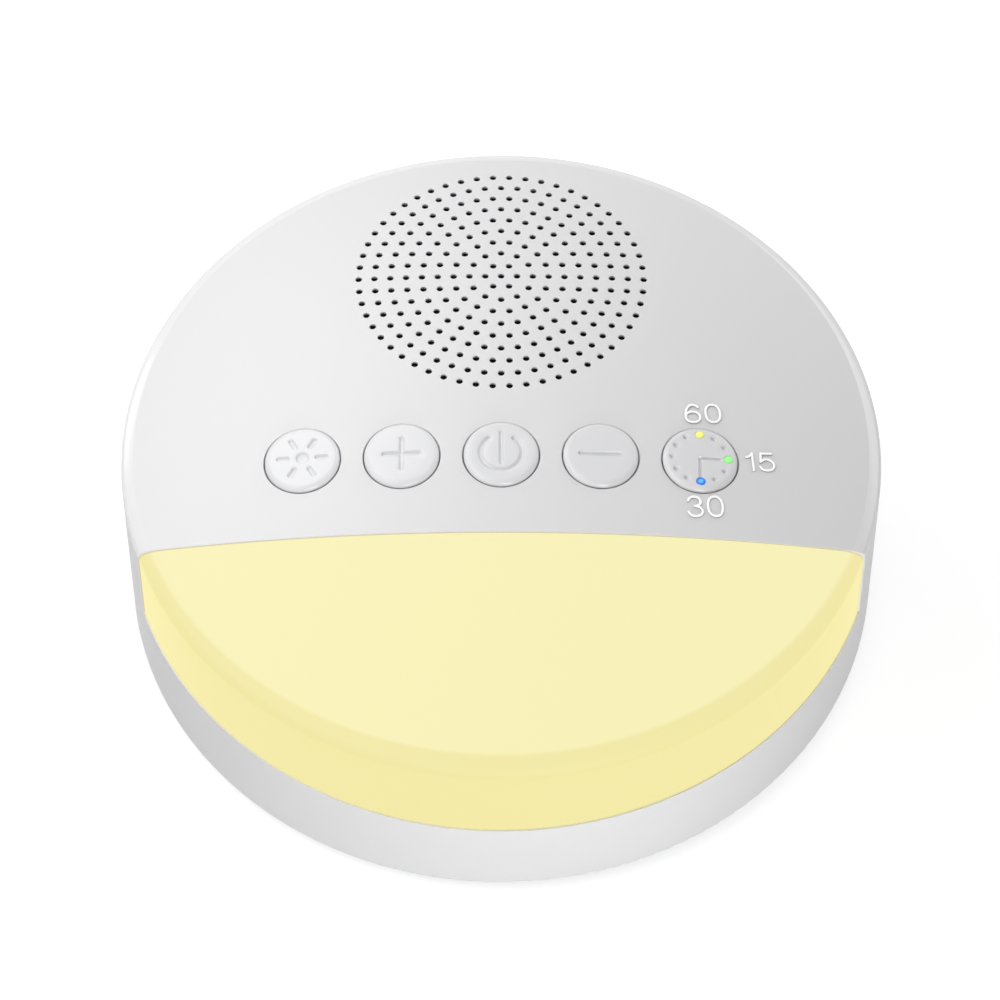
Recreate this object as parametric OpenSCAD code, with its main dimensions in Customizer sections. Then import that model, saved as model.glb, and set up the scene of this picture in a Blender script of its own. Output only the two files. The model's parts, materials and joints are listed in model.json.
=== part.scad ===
// White noise sound machine: a round, battery-backed sound player with a domed
// deck, five push buttons, a small full-range speaker and a night light in front.
// Millimetres. +Z is up, -Y is the front, and the feet stand on z = 0 at the centre.

/* [Case] */
// Outer diameter of the case
body_d = 115; // [109:1:125]
// Height of the side wall, from its underside to the parting line
wall_h = 30.15; // [29:0.25:34]
// Thickness of the tray wall, the cover and the lens
wall_t = 2; // [1.6:0.1:2.4]
// Thickness of the tray floor
floor_t = 2; // [1.8:0.1:3]
// Radius of the domed top
crown_r = 270; // [240:5:320]
// Rounding of the rim, between the dome and the side wall
edge_r = 1.8; // [1.2:0.1:2.4]
// Rounding of the bottom edge of the tray
base_edge_r = 1; // [0.5:0.1:1.5]
// Distance of the straight seam between cover and lens in front of the centre
seam_front = 18.8; // [18:0.1:20]
// Height of the front wall under the lens
sill_h = 15.6; // [15:0.1:17]
// Gap at the seams that show
seam_gap = 0.1; // [0.05:0.01:0.2]
// Clearance between a lip and the wall that it sits behind
lip_gap = 0.2; // [0.15:0.01:0.3]
// Thickness of the lips behind the seams
lip_t = 1.4; // [1:0.1:1.6]
// How far a lip reaches past its seam
lip_lap = 2; // [1:0.1:2.4]

/* [Grille and speaker] */
// Distance of the grille's centre from the back of the case
grille_from_back = 28; // [27.9:0.1:28.6]
// Rings of holes round the centre hole
grille_rings = 9; // [6:1:9]
// Distance from ring to ring
grille_pitch = 2.44; // [2:0.02:2.46]
// Diameter of a grille hole
grille_hole_d = 1.1; // [0.8:0.05:1.3]
// Thickness of the deck at the grille
grille_t = 0.9; // [0.8:0.1:1.2]
// Thickness of the dust cloth behind the grille
cloth_t = 0.3; // [0.2:0.05:0.5]
// Outer radius of the speaker's flange
speaker_r = 23.5; // [23.3:0.1:23.8]
// Depth of the speaker's seat below the deck's inner face at the back
seat_drop = 1; // [0.9:0.1:1.6]
// Thickness of the foam gasket in front of the flange
gasket_t = 0.6; // [0.4:0.1:0.8]
// Radius of the speaker's cone
cone_r = 17.2; // [16:0.1:17.4]
// Radius of the magnet's pole
pole_r = 6.6; // [6:0.1:6.8]
// Thickness of the ferrite ring
magnet_t = 4; // [3:0.25:4.5]
// Travel of the cone each way
cone_travel = 0.8; // [0.4:0.1:1]

/* [Buttons] */
// Distance of the button row in front of the middle of the case
button_front = 5.2; // [4.8:0.1:6]
// Distance from button to button
button_pitch = 14.9; // [14.6:0.1:15.2]
// Diameter of a button cap
cap_d = 11.2; // [10.4:0.1:11.4]
// Gap round a button cap
cap_gap = 0.25; // [0.2:0.01:0.3]
// Height of a cap above the deck
cap_proud = 0.75; // [0.6:0.05:1]
// Rounding of the cap's upper edge
cap_edge_r = 0.7; // [0.4:0.05:0.8]
// Depth of the engraved signs
icon_depth = 0.35; // [0.2:0.05:0.5]
// Width of the engraved lines
icon_w = 0.7; // [0.5:0.05:0.9]
// Travel of a button
button_travel = 0.5; // [0.3:0.05:0.6]
// Height of a switch body above its board
switch_h = 3.5; // [3.1:0.1:3.8]
// Width of a switch body
switch_w = 6; // [5.8:0.1:6.2]
// Length of a switch's actuator above its body
actuator_h = 1.5; // [1.2:0.1:1.6]

/* [Boards and battery] */
// Thickness of the main and button boards
board_t = 1.6; // [1:0.1:1.6]
// Thickness of the light board
light_board_t = 1.2; // [0.8:0.1:1.6]
// Height of the main board above the floor
standoff_h = 3; // [2.5:0.1:3.2]
// Width of the main board
main_w = 44; // [42:0.5:46]
// Height of the button board's underside above the tray's underside
button_board_h = 25.2; // [24.9:0.05:25.4]
// Height of the light board's underside above the tray's underside
light_board_h = 14.4; // [13.6:0.1:14.6]
// Number of lamps on the light board
lamp_count = 9; // [5:2:11]
// Width of a lamp
lamp_w = 5; // [3.5:0.1:5.2]
// Length of the battery
battery_l = 50; // [44:0.5:52]
// Width of the battery
battery_w = 34; // [30:0.5:35]
// Thickness of the battery
battery_t = 9; // [7:0.25:9.5]
// Thickness of the pad under the battery
pad_t = 0.5; // [0.3:0.1:1]

/* [Sockets] */
// Distance of each socket from the middle of the back
socket_x = 9; // [8.5:0.1:10]
// Width of the charging socket's shell
usb_w = 8.94; // [8.9:0.02:9]
// Height of the charging socket's shell
usb_h = 3.26; // [3.2:0.02:3.3]
// Bore of the headphone jack
jack_bore_d = 3.6; // [3.54:0.02:3.66]
// Hole in the wall for the headphone plug's body
plug_hole_d = 7.4; // [7:0.1:7.8]

/* [Feet and screws] */
// Diameter of a foot
foot_d = 10; // [8:0.5:11]
// Height of a foot below the case
foot_proud = 1.2; // [0.8:0.1:2]
// Depth of a foot's pocket
foot_sink = 1; // [0.5:0.1:1.2]
// Distance of a foot from the centre, along X and along Y
foot_at = 33; // [31:0.5:34]
// Shank diameter of the case screws
case_screw_d = 2.6; // [2.4:0.1:3]
// Shank length of the case screws
case_screw_l = 12; // [10:0.5:14]
// Shank diameter of the board and speaker screws
small_screw_d = 1.6; // [1.4:0.1:1.8]

/* [Hidden] */
$fn = 96;

white_case = "#f2f2f2";
white_cap = "#f6f6f6";
cream_lens = "#f8f1bb";
dark_cloth = "#1b1b1d";
steel = "#b9bcc0";
ferrite = "#3c3c40";
copper = "#b87333";
board_green = "#1f6b3a";
black_plastic = "#202022";
rubber_grey = "#8d8d90";

// Case levels and radii
body_r = body_d / 2;
inner_r = body_r - wall_t;
z_body = foot_proud;
z_floor = z_body + floor_t;
z_part = z_body + wall_h;
z_sill = z_body + sill_h;
rim_r = body_r - edge_r;
lip_r = inner_r - lip_gap;
skirt_inner_r = lip_r - lip_t;
crown_cz = z_part - sqrt(pow(crown_r - edge_r, 2) - pow(rim_r, 2));
apex = crown_cz + crown_r;
rim_join = 6;
rim_join_r = rim_r - rim_join;
cover_lip_root = 0.5;
eps = 0.05;

// Height of the dome, or of a surface a given depth under it
function crown_z(x, y, depth = 0) =
    crown_cz + sqrt(pow(crown_r - depth, 2) - x * x - y * y);
// Angles that turn +Z onto the dome's normal
function crown_tilt(x, y) =
    let (a = -asin(y / crown_r)) [a, asin(x / crown_r / cos(a)), 0];

// Lips of the lens, behind the tray's wall and under the cover's front edge
lens_lip_up = 1;
lens_lip_gap = 0.15;
lens_lip_depth = wall_t + lens_lip_gap;
lens_strip_t = 1.2;
lens_strip_inset = 1.6;
lens_strip_l = 3;

// Buttons, from left to right
button_x = [for (i = [-2:2]) i * button_pitch];
button_y = -button_front;
cap_r = cap_d / 2;
cap_hole_r = cap_r + cap_gap;
cap_disc_t = 1;
cap_core_drop = 0.75;
cap_core_inset = 0.25;
flange_lap = 1.1;
flange_r = cap_hole_r + flange_lap;
flange_gap = 0.3;
flange_t = 0.9;
key_w = 1;
key_gap = 0.3;
key_depth = 0.5;
key_l = 1.4;
stem_r = 1.5;
cap_hollow_r = 3.2;
cap_roof_t = 2;
plunger_r = 1.75;
plunger_gap = 0.1;
plunger_sink = 1;
plunger_pocket = 0.4;
button_board_z = z_body + button_board_h;
switch_z = button_board_z + board_t;
plunger_top = switch_z + switch_h + actuator_h;

// Signs on the caps
plus_l = 6;
minus_l = 6.7;
ray_in = 1.9;
ray_out = 3.9;
sun_r = 0.95;
power_r = 3.13;
power_gap = 37;
power_bar = [-2.1, 3.8];
dial_r = 4.2;
dial_hole_r = 0.45;
hand_w = 0.8;
hand_l = [3, 3.4];
light_r = 0.7;
light_gap = 0.02;
light_angles = [90, 0, 270];
light_seen = 0.05;
light_to_led = 0.4;
led = [0.8, 1.6, 0.7];

// Speaker, in a frame that lies on its seat
grille_back = body_r - grille_from_back;
grille_edge = 0.35;
seat_t = 1;
seat_lap = 0.6;
seat_in_r = max(grille_rings * grille_pitch + grille_hole_d / 2 + grille_edge,
                speaker_r - seat_lap);
seat_out_r = seat_in_r + seat_t;
cloth_gap = 0.1;
gasket_inset = [0.7, 0.1];
seat_z = crown_z(0, grille_back + seat_out_r, wall_t) - seat_drop;
cone_top = -gasket_t;
speaker_flange_t = 1;
speaker_screw_bite = 2.4;
ear_at = 26.5;
ear_r = 3;
ear_root = 6;
ear_boss_r = 2.2;
ear_angles = [20, 160, 235, 305];
basket_r = 20.4;
pole_gap = 0.3;
basket_low_r = 15.5;
basket_t = 0.8;
basket_depth = 8.4;
basket_low = cone_top - basket_depth;
basket_floor = basket_low - basket_t;
basket_bore_gap = 1.2;
window_at = 12;
window_w = 10;
window_h = 2.4;
coil_r = pole_r + pole_gap;
coil_t = 0.45;
former_t = 0.15;
coil_gap = 0.35;
coil_above = 0.6;
gap_r = coil_r + coil_t + coil_gap;
pole_above = 0.3;
top_plate_t = 1.5;
top_plate_r = 13;
magnet_r = 14.5;
magnet_hole_r = 9.5;
yoke_t = 1.8;
plate_low = basket_floor - top_plate_t;
magnet_low = plate_low - magnet_t;
yoke_low = magnet_low - yoke_t;
coil_low = plate_low - 2 * cone_travel;
cone_neck_r = coil_r + former_t;
cone_depth = 5.6;
cone_neck = cone_top - cone_depth;
cone_t = 0.4;
cone_land = 1.4;
cone_land_low = 1;
dust_cap_r = 8.2;
dust_ball_r = 12;
dust_cap_t = 0.3;
dust_gap = 0.02;
roll_r = 1.4;
roll_gap = 0.1;
roll_at = cone_r + roll_r + roll_gap;
roll_land = 0.8;
surround_t = 0.25;
spider_drop = 7.2;
spider_z = cone_top - spider_drop;
spider_t = 0.8;
spider_r = 13.6;
spider_gap = 0.1;
spider_land = 1.2;
spider_web = 0.1;
spider_groove_w = 1;
spider_groove_top = [8.5, 10.5];
spider_groove_low = [9.5, 11.5];
terminal = [3, 1.2, 0.8];
terminal_gap = 2;
terminal_root = 0.5;
terminal_turn = -8;
terminal_out = 2.7;
terminal_up = 0.4;
terminal_r = basket_low_r + terminal_out;
terminal_z = basket_low + terminal_up;
terminal_strip = [6, 7.2, 0.8];

// Light
light_board_z = z_body + light_board_h;
lamp_z = light_board_z + light_board_t;
lamp_h = 1.6;
lamp_arc = 100;
lamp_window_gap = 0.4;
reflector_gap = 1.9;
reflector_r = skirt_inner_r - reflector_gap;
reflector_t = 1;
reflector_rim_h = 3.2;
baffle_top_gap = 0.3;
baffle_behind = 0.4;
baffle_y = baffle_behind - seam_front;
baffle_t = 1.2;
light_board_behind = 0.2;
light_board_edge = -(seam_front + light_board_behind);
light_post_angles = [216, 324, 270];
light_post_inset = 3;
light_post_ring_r = reflector_r - light_post_inset;
light_posts = [for (a = light_post_angles) light_post_ring_r * [cos(a), sin(a)]];
light_post_r = 2.6;
light_pilot_l = 6;
light_screw_bite = 4;
lamp_inset = 9;
lamp_ring_r = light_post_ring_r - lamp_inset;

// Main board and battery
main_z = z_floor + standoff_h;
main_top = main_z + board_t;
main_front = -4;
main_gap = 0.1;
main_r = skirt_inner_r - main_gap;
main_post_inset = 3.5;
main_post_back = 13.5;
main_posts = [for (y = [0, body_r - main_post_back], s = [-1, 1])
    [s * (main_w / 2 - main_post_inset), y]];
main_post_r = 2.2;
main_screw_bite = 0.4;
chips = [
    [-7, 14, 10, 4, 1.5], [6, 14, 5, 4, 1.5], [-7, 24, 5, 4, 1.5],
    [7, 26, 3, 3, 1], [-8, 36, 4, 4, 1.2]
];
capacitors = [[-16, 10], [-16, 18], [6, 34], [14, 34]];
capacitor_r = 2.5;
capacitor_h = 4;
battery_from_front = 46.5;
battery_back = battery_from_front - body_r;
battery_y = battery_back - battery_w / 2;
battery_z = z_floor + pad_t;
battery_round = 3;
battery_lead_at = 0.7;
pad_inset = 6;
pad_round = 2;
rib_gap = 0.4;
rib_t = 1.2;
rib_h = 4;
rib_side_share = 0.6;
rib_end_share = 0.35;
socket_size = [6, 4.4, 4.5];
board_sockets = [[-10, -0.6], [0, -0.6], [10, -0.6]];
speaker_socket = [17.6, 20];

// Sockets in the back
usb_l = 7.35;
usb_shell_t = 0.3;
usb_z = main_top + usb_h / 2;
usb_slot_gap = 0.2;
usb_recess = [13, 7.4];
usb_recess_round = 2.4;
usb_recess_gap = 0.05;
usb_sink = 0.9;
usb_mouth = sqrt(pow(body_r, 2) - pow(socket_x, 2)) - usb_sink;
usb_tongue = [6.2, 0.7, 1];
jack_size = [6, 12, 5];
jack_bore_r = jack_bore_d / 2;
jack_nose_r = 2.4;
jack_nose_l = 1.6;
jack_z = main_top + jack_size[2] / 2;
jack_sink = 0.4;
jack_mouth = sqrt(pow(inner_r, 2) - pow(socket_x, 2)) - jack_sink;
jack_depth = 12.6;

// Screws
case_post_inset = 4.7;
case_post_angles = [191, 349, 149, 31];
case_posts = [for (a = case_post_angles)
    (skirt_inner_r - case_post_inset) * [cos(a), sin(a)]];
case_post_r = 3.2;
tray_post_r = 3.9;
tray_post_h = 12.7;
post_meet = z_body + tray_post_h;
screw_fit = 0.02;
screw_gap = 0.15;
board_hole_gap = 0.1;
foot_gap = 0.1;
slot_l = 0.6;
slot_w = 0.14;
slot_depth = 0.5;
case_head_r = 2.3;
case_head_h = 1.6;
case_seat_h = 8.8;
case_seat = z_body + case_seat_h;
counterbore_gap = 0.3;
case_pilot_l = case_screw_l - (post_meet - case_seat) + 1;
small_head_r = 1.7;
small_head_h = 1.1;
small_pilot_gap = 0.4;
button_post_out = 9.8;
button_post_front = 6;
button_posts = [for (s = [-1, 1])
    each [[s * (2 * button_pitch + button_post_out), button_y],
          [s * 1.5 * button_pitch, button_y - button_post_front]]];
button_post_r = 2;
button_pilot_l = 4;
button_screw_bite = 3.4;
button_board_out = 12.2;
button_board = [2 * button_pitch + button_board_out, 7.5];
small_screw_r = small_screw_d / 2;

// Leads: how far apart they lie, and how far each runs straight at its two ends
wire_r = 0.5;
lead_gap = 1.2;
button_lead_gap = 1.6;
button_lead_front = 2;
battery_lead_run = [3, 3];
light_lead_run = [9, 5];
button_lead_run = [6, 5];
speaker_lead_run = [4, 5];

// ---- shared shapes -------------------------------------------------------

// The dome as a ball; its poles lie along Y, away from the deck
module crown_ball(depth = 0) {
    translate([0, 0, crown_cz])
        rotate([90, 0, 0])
            sphere(r = crown_r - depth, $fn = 256);
}

// A standing cylinder from z0 to z1
module post(r, z0, z1) {
    translate([0, 0, z0])
        cylinder(r = r, h = z1 - z0);
}

// A ring from z0 to z1
module ring(r_in, r_out, z0, z1) {
    difference() {
        post(r_out, z0, z1);
        post(r_in, z0 - 1, z1 + 1);
    }
}

// A bar with round ends along X, centred
module bar(l, w) {
    square([l - w, w], center = true);
    for (s = [-1, 1])
        translate([s * (l - w) / 2, 0])
            circle(d = w);
}

// A rectangle with round corners, centred
module round_rect(w, d, r) {
    square([w - 2 * r, d], center = true);
    square([w, d - 2 * r], center = true);
    for (sx = [-1, 1], sy = [-1, 1])
        translate([sx * (w / 2 - r), sy * (d / 2 - r)])
            circle(r = r);
}

// Everything in front of a plane, or behind it
module in_front_of(y) {
    translate([-body_d, y - 2 * body_d, -body_d])
        cube(2 * body_d);
}

module behind(y) {
    translate([-body_d, y, -body_d])
        cube(2 * body_d);
}

// Outside of the domed top, from the parting line up
module top_solid() {
    corner = [rim_r, z_part];
    lean = asin(rim_r / (crown_r - edge_r));
    out = corner + 2 * edge_r * [sin(lean), cos(lean)];
    intersection() {
        crown_ball();
        post(rim_join_r, z_part, apex + 1);
    }
    rotate_extrude($fn = 256) {
        intersection() {
            translate([0, crown_cz])
                circle(r = crown_r, $fn = 1024);
            polygon([[rim_join_r, z_part], corner, out, [rim_join_r, apex + 1]]);
        }
        intersection() {
            translate(corner)
                circle(r = edge_r);
            polygon([corner, corner + [2 * edge_r, 0],
                     corner + [2 * edge_r, 2 * edge_r], out]);
        }
    }
}

// A pan-head screw pointing up, its head under z = 0
module screw(r, l, head_r, head_h) {
    post(r, 0, l);
    difference() {
        post(head_r, -head_h, 0);
        for (a = [0, 90])
            rotate(a)
                translate([-head_r * slot_l, -head_r * slot_w, -head_h - eps])
                    cube([2 * head_r * slot_l, 2 * head_r * slot_w, head_h * slot_depth]);
    }
}

// A round wire as one closed tube: it leaves a along u and reaches b along v
function unit(v) = v / norm(v);
module wire(a, u, v, b, r = wire_r, steps = 7) {
    sides = 8;
    n = steps + 1;
    points = [for (i = [0:steps])
        let (t = i / steps, s = 1 - t)
            s * s * s * a + 3 * s * s * t * (a + u) + 3 * s * t * t * (b - v) + t * t * t * b];
    dir = [for (i = [0:steps])
        unit(i == 0 ? u : i == steps ? v : points[i + 1] - points[i - 1])];
    rings = [for (i = [0:steps])
        let (p = unit(cross(dir[i], [1, 0, 0])), q = cross(dir[i], p))
            for (k = [0:sides - 1])
                points[i] + r * (cos(360 * k / sides) * p + sin(360 * k / sides) * q)];
    walls = [for (i = [0:n - 2], k = [0:sides - 1])
        let (a = i * sides + k, b = i * sides + (k + 1) % sides)
            each [[a, b + sides, b], [a, a + sides, b + sides]]];
    caps = [for (k = [1:sides - 2])
        each [[0, k, k + 1],
              [(n - 1) * sides, (n - 1) * sides + k + 1, (n - 1) * sides + k]]];
    polyhedron(points = rings, faces = concat(walls, caps));
}

// ---- case ------------------------------------------------------------------

module tray_outside() {
    corner = [body_r - base_edge_r, z_body + base_edge_r];
    post(body_r, corner[1], z_part);
    rotate_extrude($fn = 256) {
        translate([0, z_body])
            square([corner[0], base_edge_r]);
        intersection() {
            translate(corner)
                circle(r = base_edge_r);
            translate([corner[0], z_body])
                square([base_edge_r, base_edge_r]);
        }
    }
}

module base_tray() {
    color(white_case)
    difference() {
        union() {
            difference() {
                tray_outside();
                post(inner_r, z_floor, z_part + 1);
                intersection() {
                    post(body_r + 1, z_sill, z_part + 1);
                    in_front_of(-seam_front + seam_gap / 2);
                }
            }
            for (p = case_posts)
                translate(p)
                    post(tray_post_r, z_floor - eps, post_meet);
            for (p = main_posts)
                translate(p)
                    post(main_post_r, z_floor - eps, main_z);
            for (p = light_posts)
                translate(p)
                    post(light_post_r, z_floor - eps, light_board_z);
            battery_ribs();
        }
        for (p = case_posts)
            translate(p) {
                post(case_screw_d / 2 + screw_gap, z_body - 1, post_meet + 1);
                post(case_head_r + counterbore_gap, z_body - 1, case_seat);
            }
        for (p = main_posts)
            translate(p)
                post(small_screw_r + screw_fit, z_floor - 1 + eps, main_z + 1);
        for (p = light_posts)
            translate(p)
                post(small_screw_r + screw_fit, light_board_z - light_pilot_l, light_board_z + 1);
        for (sx = [-1, 1], sy = [-1, 1])
            translate([sx * foot_at, sy * foot_at])
                post(foot_d / 2 + foot_gap, z_body - 1, z_body + foot_sink);
        socket_holes();
    }
}

module battery_ribs() {
    half_l = battery_l / 2 + rib_gap;
    half_w = battery_w / 2 + rib_gap;
    for (s = [-1, 1]) {
        translate([s * (half_l + rib_t / 2), battery_y, z_floor + rib_h / 2 - eps])
            cube([rib_t, battery_w * rib_side_share, rib_h], center = true);
        translate([0, battery_y + s * (half_w + rib_t / 2), z_floor + rib_h / 2 - eps])
            cube([battery_l * rib_end_share, rib_t, rib_h], center = true);
    }
}

module socket_holes() {
    translate([-socket_x, body_r, usb_z])
        rotate([90, 0, 0])
            linear_extrude(usb_l)
                bar(usb_w + 2 * usb_slot_gap, usb_h + 2 * usb_slot_gap);
    translate([-socket_x, usb_mouth + usb_recess_gap, usb_z])
        rotate([-90, 0, 0])
            linear_extrude(usb_l)
                round_rect(usb_recess[0], usb_recess[1], usb_recess_round);
    translate([socket_x, jack_mouth - 1, jack_z])
        rotate([-90, 0, 0])
            cylinder(d = plug_hole_d, h = body_r);
}

module top_cover() {
    color(white_case)
    difference() {
        union() {
            difference() {
                union() {
                    top_solid();
                    post(lip_r, z_part - lip_lap - cover_lip_root, z_part + eps);
                }
                intersection() {
                    crown_ball(wall_t);
                    post(skirt_inner_r, z_body, apex);
                }
            }
            intersection() {
                crown_ball(wall_t / 2);
                cover_bosses();
            }
        }
        in_front_of(-seam_front + seam_gap / 2);
        intersection() {
            crown_ball(grille_t);
            at_speaker()
                post(seat_in_r, -1, apex);
        }
        grille_holes();
        for (x = button_x)
            translate([x, button_y])
                post(cap_hole_r, z_part, apex + wall_t);
        for (p = case_posts)
            translate(p)
                post(case_screw_d / 2 + screw_fit, post_meet - 1, post_meet + case_pilot_l);
        for (p = button_posts)
            translate(p)
                post(small_screw_r + screw_fit, switch_z - 1, switch_z + button_pilot_l);
        at_speaker()
            for (a = ear_angles)
                rotate(a)
                    translate([ear_at, 0])
                        post(small_screw_r + screw_fit, cone_top - 1,
                             cone_top + speaker_screw_bite + small_pilot_gap);
    }
}

// Posts and the speaker's seat, from below up into the deck
module cover_bosses() {
    for (p = case_posts)
        translate(p)
            post(case_post_r, post_meet + eps, apex);
    for (p = button_posts)
        translate(p)
            post(button_post_r, switch_z, apex);
    for (x = button_x)
        translate([x - key_w / 2, button_y + flange_r - key_depth, flange_low(x)])
            cube([key_w, key_l, apex - flange_low(x)]);
    at_speaker() {
        post(seat_out_r, 0, apex);
        for (a = ear_angles)
            rotate(a)
                translate([ear_at, 0])
                    post(ear_boss_r, cone_top, apex);
    }
}

module grille_holes() {
    translate([0, grille_back]) {
        post(grille_hole_d / 2, z_part, apex + wall_t, $fn = 24);
        for (i = [1:grille_rings], k = [0:6 * i - 1])
            rotate(60 * k / i)
                translate([i * grille_pitch, 0])
                    post(grille_hole_d / 2, z_part, apex + wall_t, $fn = 24);
    }
}

module night_light_lens() {
    color(cream_lens)
    difference() {
        union() {
            difference() {
                union() {
                    top_solid();
                    post(body_r, z_sill + seam_gap, z_part + eps);
                }
                lens_hollow();
                behind(-seam_front - seam_gap / 2);
            }
            lens_lips();
        }
        post(skirt_inner_r, z_body, z_sill);
    }
}

module lens_hollow() {
    intersection() {
        crown_ball(wall_t);
        post(inner_r, z_body, apex);
    }
}

// Lips that tuck behind the tray's wall and under the cover's front edge
module lens_lips() {
    front = -seam_front - seam_gap / 2 - eps;
    back = -seam_front + lip_lap;
    low = z_sill - lip_lap;
    high = z_part - lip_lap - lens_lip_up;
    intersection() {
        ring(skirt_inner_r, lip_r, low, high);
        in_front_of(back);
    }
    intersection() {
        ring(lip_r - eps, inner_r + eps, z_sill + seam_gap + eps, high);
        in_front_of(front);
    }
    difference() {
        intersection() {
            crown_ball(lens_lip_depth);
            post(skirt_inner_r - lens_strip_inset, z_sill, apex);
            in_front_of(back);
            behind(-seam_front - lens_strip_l);
        }
        crown_ball(lens_lip_depth + lens_strip_t);
    }
    difference() {
        intersection() {
            crown_ball(wall_t - eps);
            post(skirt_inner_r - lens_strip_inset, z_sill, apex);
            in_front_of(front);
            behind(-seam_front - lens_strip_l);
        }
        crown_ball(lens_lip_depth + eps);
    }
}

module grille_cloth() {
    color(dark_cloth)
    difference() {
        intersection() {
            crown_ball(grille_t);
            at_speaker()
                post(seat_in_r - cloth_gap, -1, apex);
        }
        crown_ball(grille_t + cloth_t);
    }
}

module rubber_feet() {
    color(rubber_grey)
    for (sx = [-1, 1], sy = [-1, 1])
        translate([sx * foot_at, sy * foot_at])
            post(foot_d / 2, 0, z_body + foot_sink);
}

module case_screws() {
    color(steel)
    for (p = case_posts)
        translate([p[0], p[1], case_seat])
            screw(case_screw_d / 2, case_screw_l, case_head_r, case_head_h);
}

// ---- buttons ---------------------------------------------------------------

// On top of a cap, in a frame that leans with the dome
module at_cap_top(x) {
    translate([x, button_y, crown_z(x, button_y, -cap_proud)])
        rotate(crown_tilt(x, button_y))
            children();
}

function flange_low(x) =
    crown_z(abs(x) + flange_r, button_y - flange_r, wall_t) - flange_gap - flange_t;

module cap(x) {
    low = flange_low(x);
    top = crown_z(x, button_y, -cap_proud);
    difference() {
        union() {
            at_cap_top(x)
                cap_disc();
            intersection() {
                crown_ball(cap_core_drop - cap_proud);
                translate([x, button_y])
                    post(cap_r - cap_core_inset, low, top);
            }
            intersection() {
                crown_ball(wall_t + flange_gap);
                translate([x, button_y])
                    post(flange_r, low, top);
            }
        }
        translate([x, button_y])
            post(cap_hollow_r, low - 1, top - cap_roof_t);
        translate([x - key_w / 2 - key_gap, button_y + flange_r - key_depth - key_gap, low - 1])
            cube([key_w + 2 * key_gap, flange_lap, top - low]);
        at_cap_top(x)
            translate([0, 0, -icon_depth])
                linear_extrude(cap_roof_t)
                    children();
    }
    translate([x, button_y])
        post(stem_r, plunger_top, top - cap_roof_t + eps);
}

// The cap's round-edged face, a disc under z = 0
module cap_disc() {
    rotate_extrude() {
        translate([0, -cap_disc_t])
            square([cap_r - cap_edge_r, cap_disc_t]);
        translate([cap_r - cap_edge_r, -cap_disc_t])
            square([cap_edge_r, cap_disc_t - cap_edge_r]);
        intersection() {
            translate([cap_r - cap_edge_r, -cap_edge_r])
                circle(r = cap_edge_r);
            translate([cap_r - cap_edge_r, -cap_edge_r])
                square(cap_edge_r);
        }
    }
}

module brightness_button() {
    color(white_cap)
    cap(button_x[0]) {
        circle(r = sun_r);
        for (a = [0:60:300])
            rotate(a)
                translate([(ray_in + ray_out) / 2, 0])
                    bar(ray_out - ray_in, icon_w);
    }
}

module volume_up_button() {
    color(white_cap)
    cap(button_x[1]) {
        bar(plus_l, icon_w);
        rotate(90)
            bar(plus_l, icon_w);
    }
}

module power_button() {
    color(white_cap)
    cap(button_x[2]) {
        difference() {
            circle(r = power_r + icon_w / 2);
            circle(r = power_r - icon_w / 2);
            polygon([[0, 0], cap_d * [-sin(power_gap), cos(power_gap)],
                     cap_d * [sin(power_gap), cos(power_gap)]]);
        }
        translate([0, (power_bar[0] + power_bar[1]) / 2])
            rotate(90)
                bar(power_bar[1] - power_bar[0], icon_w);
    }
}

module volume_down_button() {
    color(white_cap)
    cap(button_x[3])
        bar(minus_l, icon_w);
}

module timer_button() {
    color(white_cap)
    difference() {
        cap(button_x[4]) {
            for (k = [0:11])
                if (k % 3 || k == 6)
                    rotate(30 * k)
                        translate([dial_r, 0])
                            circle(r = dial_hole_r, $fn = 24);
            translate([-hand_w / 2, -hand_l[1]])
                square([hand_w, hand_l[1] + hand_w / 2]);
            translate([-hand_w / 2, -hand_w / 2])
                square([hand_l[0] + hand_w / 2, hand_w]);
        }
        for (a = light_angles)
            at_light(a)
                post(light_r + light_gap, z_part, apex + wall_t, $fn = 24);
    }
}

// Over the lamp of one of the timer's lights, at an angle on its dial
module at_light(a) {
    translate([button_x[4], button_y])
        rotate(a)
            translate([dial_r, 0])
                children();
}

// A light guide that runs from the timer cap's face down to just over its lamp
module timer_light(a) {
    intersection() {
        at_light(a)
            post(light_r, switch_z + led[2] + button_travel + light_to_led, apex + wall_t,
                 $fn = 24);
        at_cap_top(button_x[4])
            translate([-cap_d, -cap_d, light_seen - 2 * cap_d])
                cube(2 * cap_d);
    }
}

module plunger(i) {
    color(black_plastic)
    translate([button_x[i], button_y])
        post(plunger_r, switch_z + switch_h - plunger_sink, plunger_top);
}

module tact_switches() {
    color(black_plastic)
    for (x = button_x)
        translate([x, button_y])
            difference() {
                translate([-switch_w / 2, -switch_w / 2, switch_z])
                    cube([switch_w, switch_w, switch_h]);
                post(plunger_r + plunger_gap,
                     switch_z + switch_h - plunger_sink - button_travel - plunger_pocket,
                     switch_z + switch_h + 1);
            }
}

module button_board() {
    color(board_green)
    difference() {
        translate([-button_board[0], button_y - button_board[1], button_board_z])
            cube([2 * button_board[0], 2 * button_board[1], board_t]);
        for (p = button_posts)
            translate(p)
                post(small_screw_r + board_hole_gap, button_board_z - 1, switch_z + 1);
    }
}

module indicator_leds() {
    color("#f4f4ee")
    for (a = light_angles)
        at_light(a)
            translate([-led[0] / 2, -led[1] / 2, switch_z])
                cube(led);
}

module button_board_screws() {
    color(steel)
    for (p = button_posts)
        translate([p[0], p[1], button_board_z])
            screw(small_screw_r, board_t + button_screw_bite, small_head_r, small_head_h);
}

// ---- speaker ---------------------------------------------------------------

// On the speaker's seat, over its middle
module at_speaker() {
    translate([0, grille_back, seat_z])
        children();
}

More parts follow.
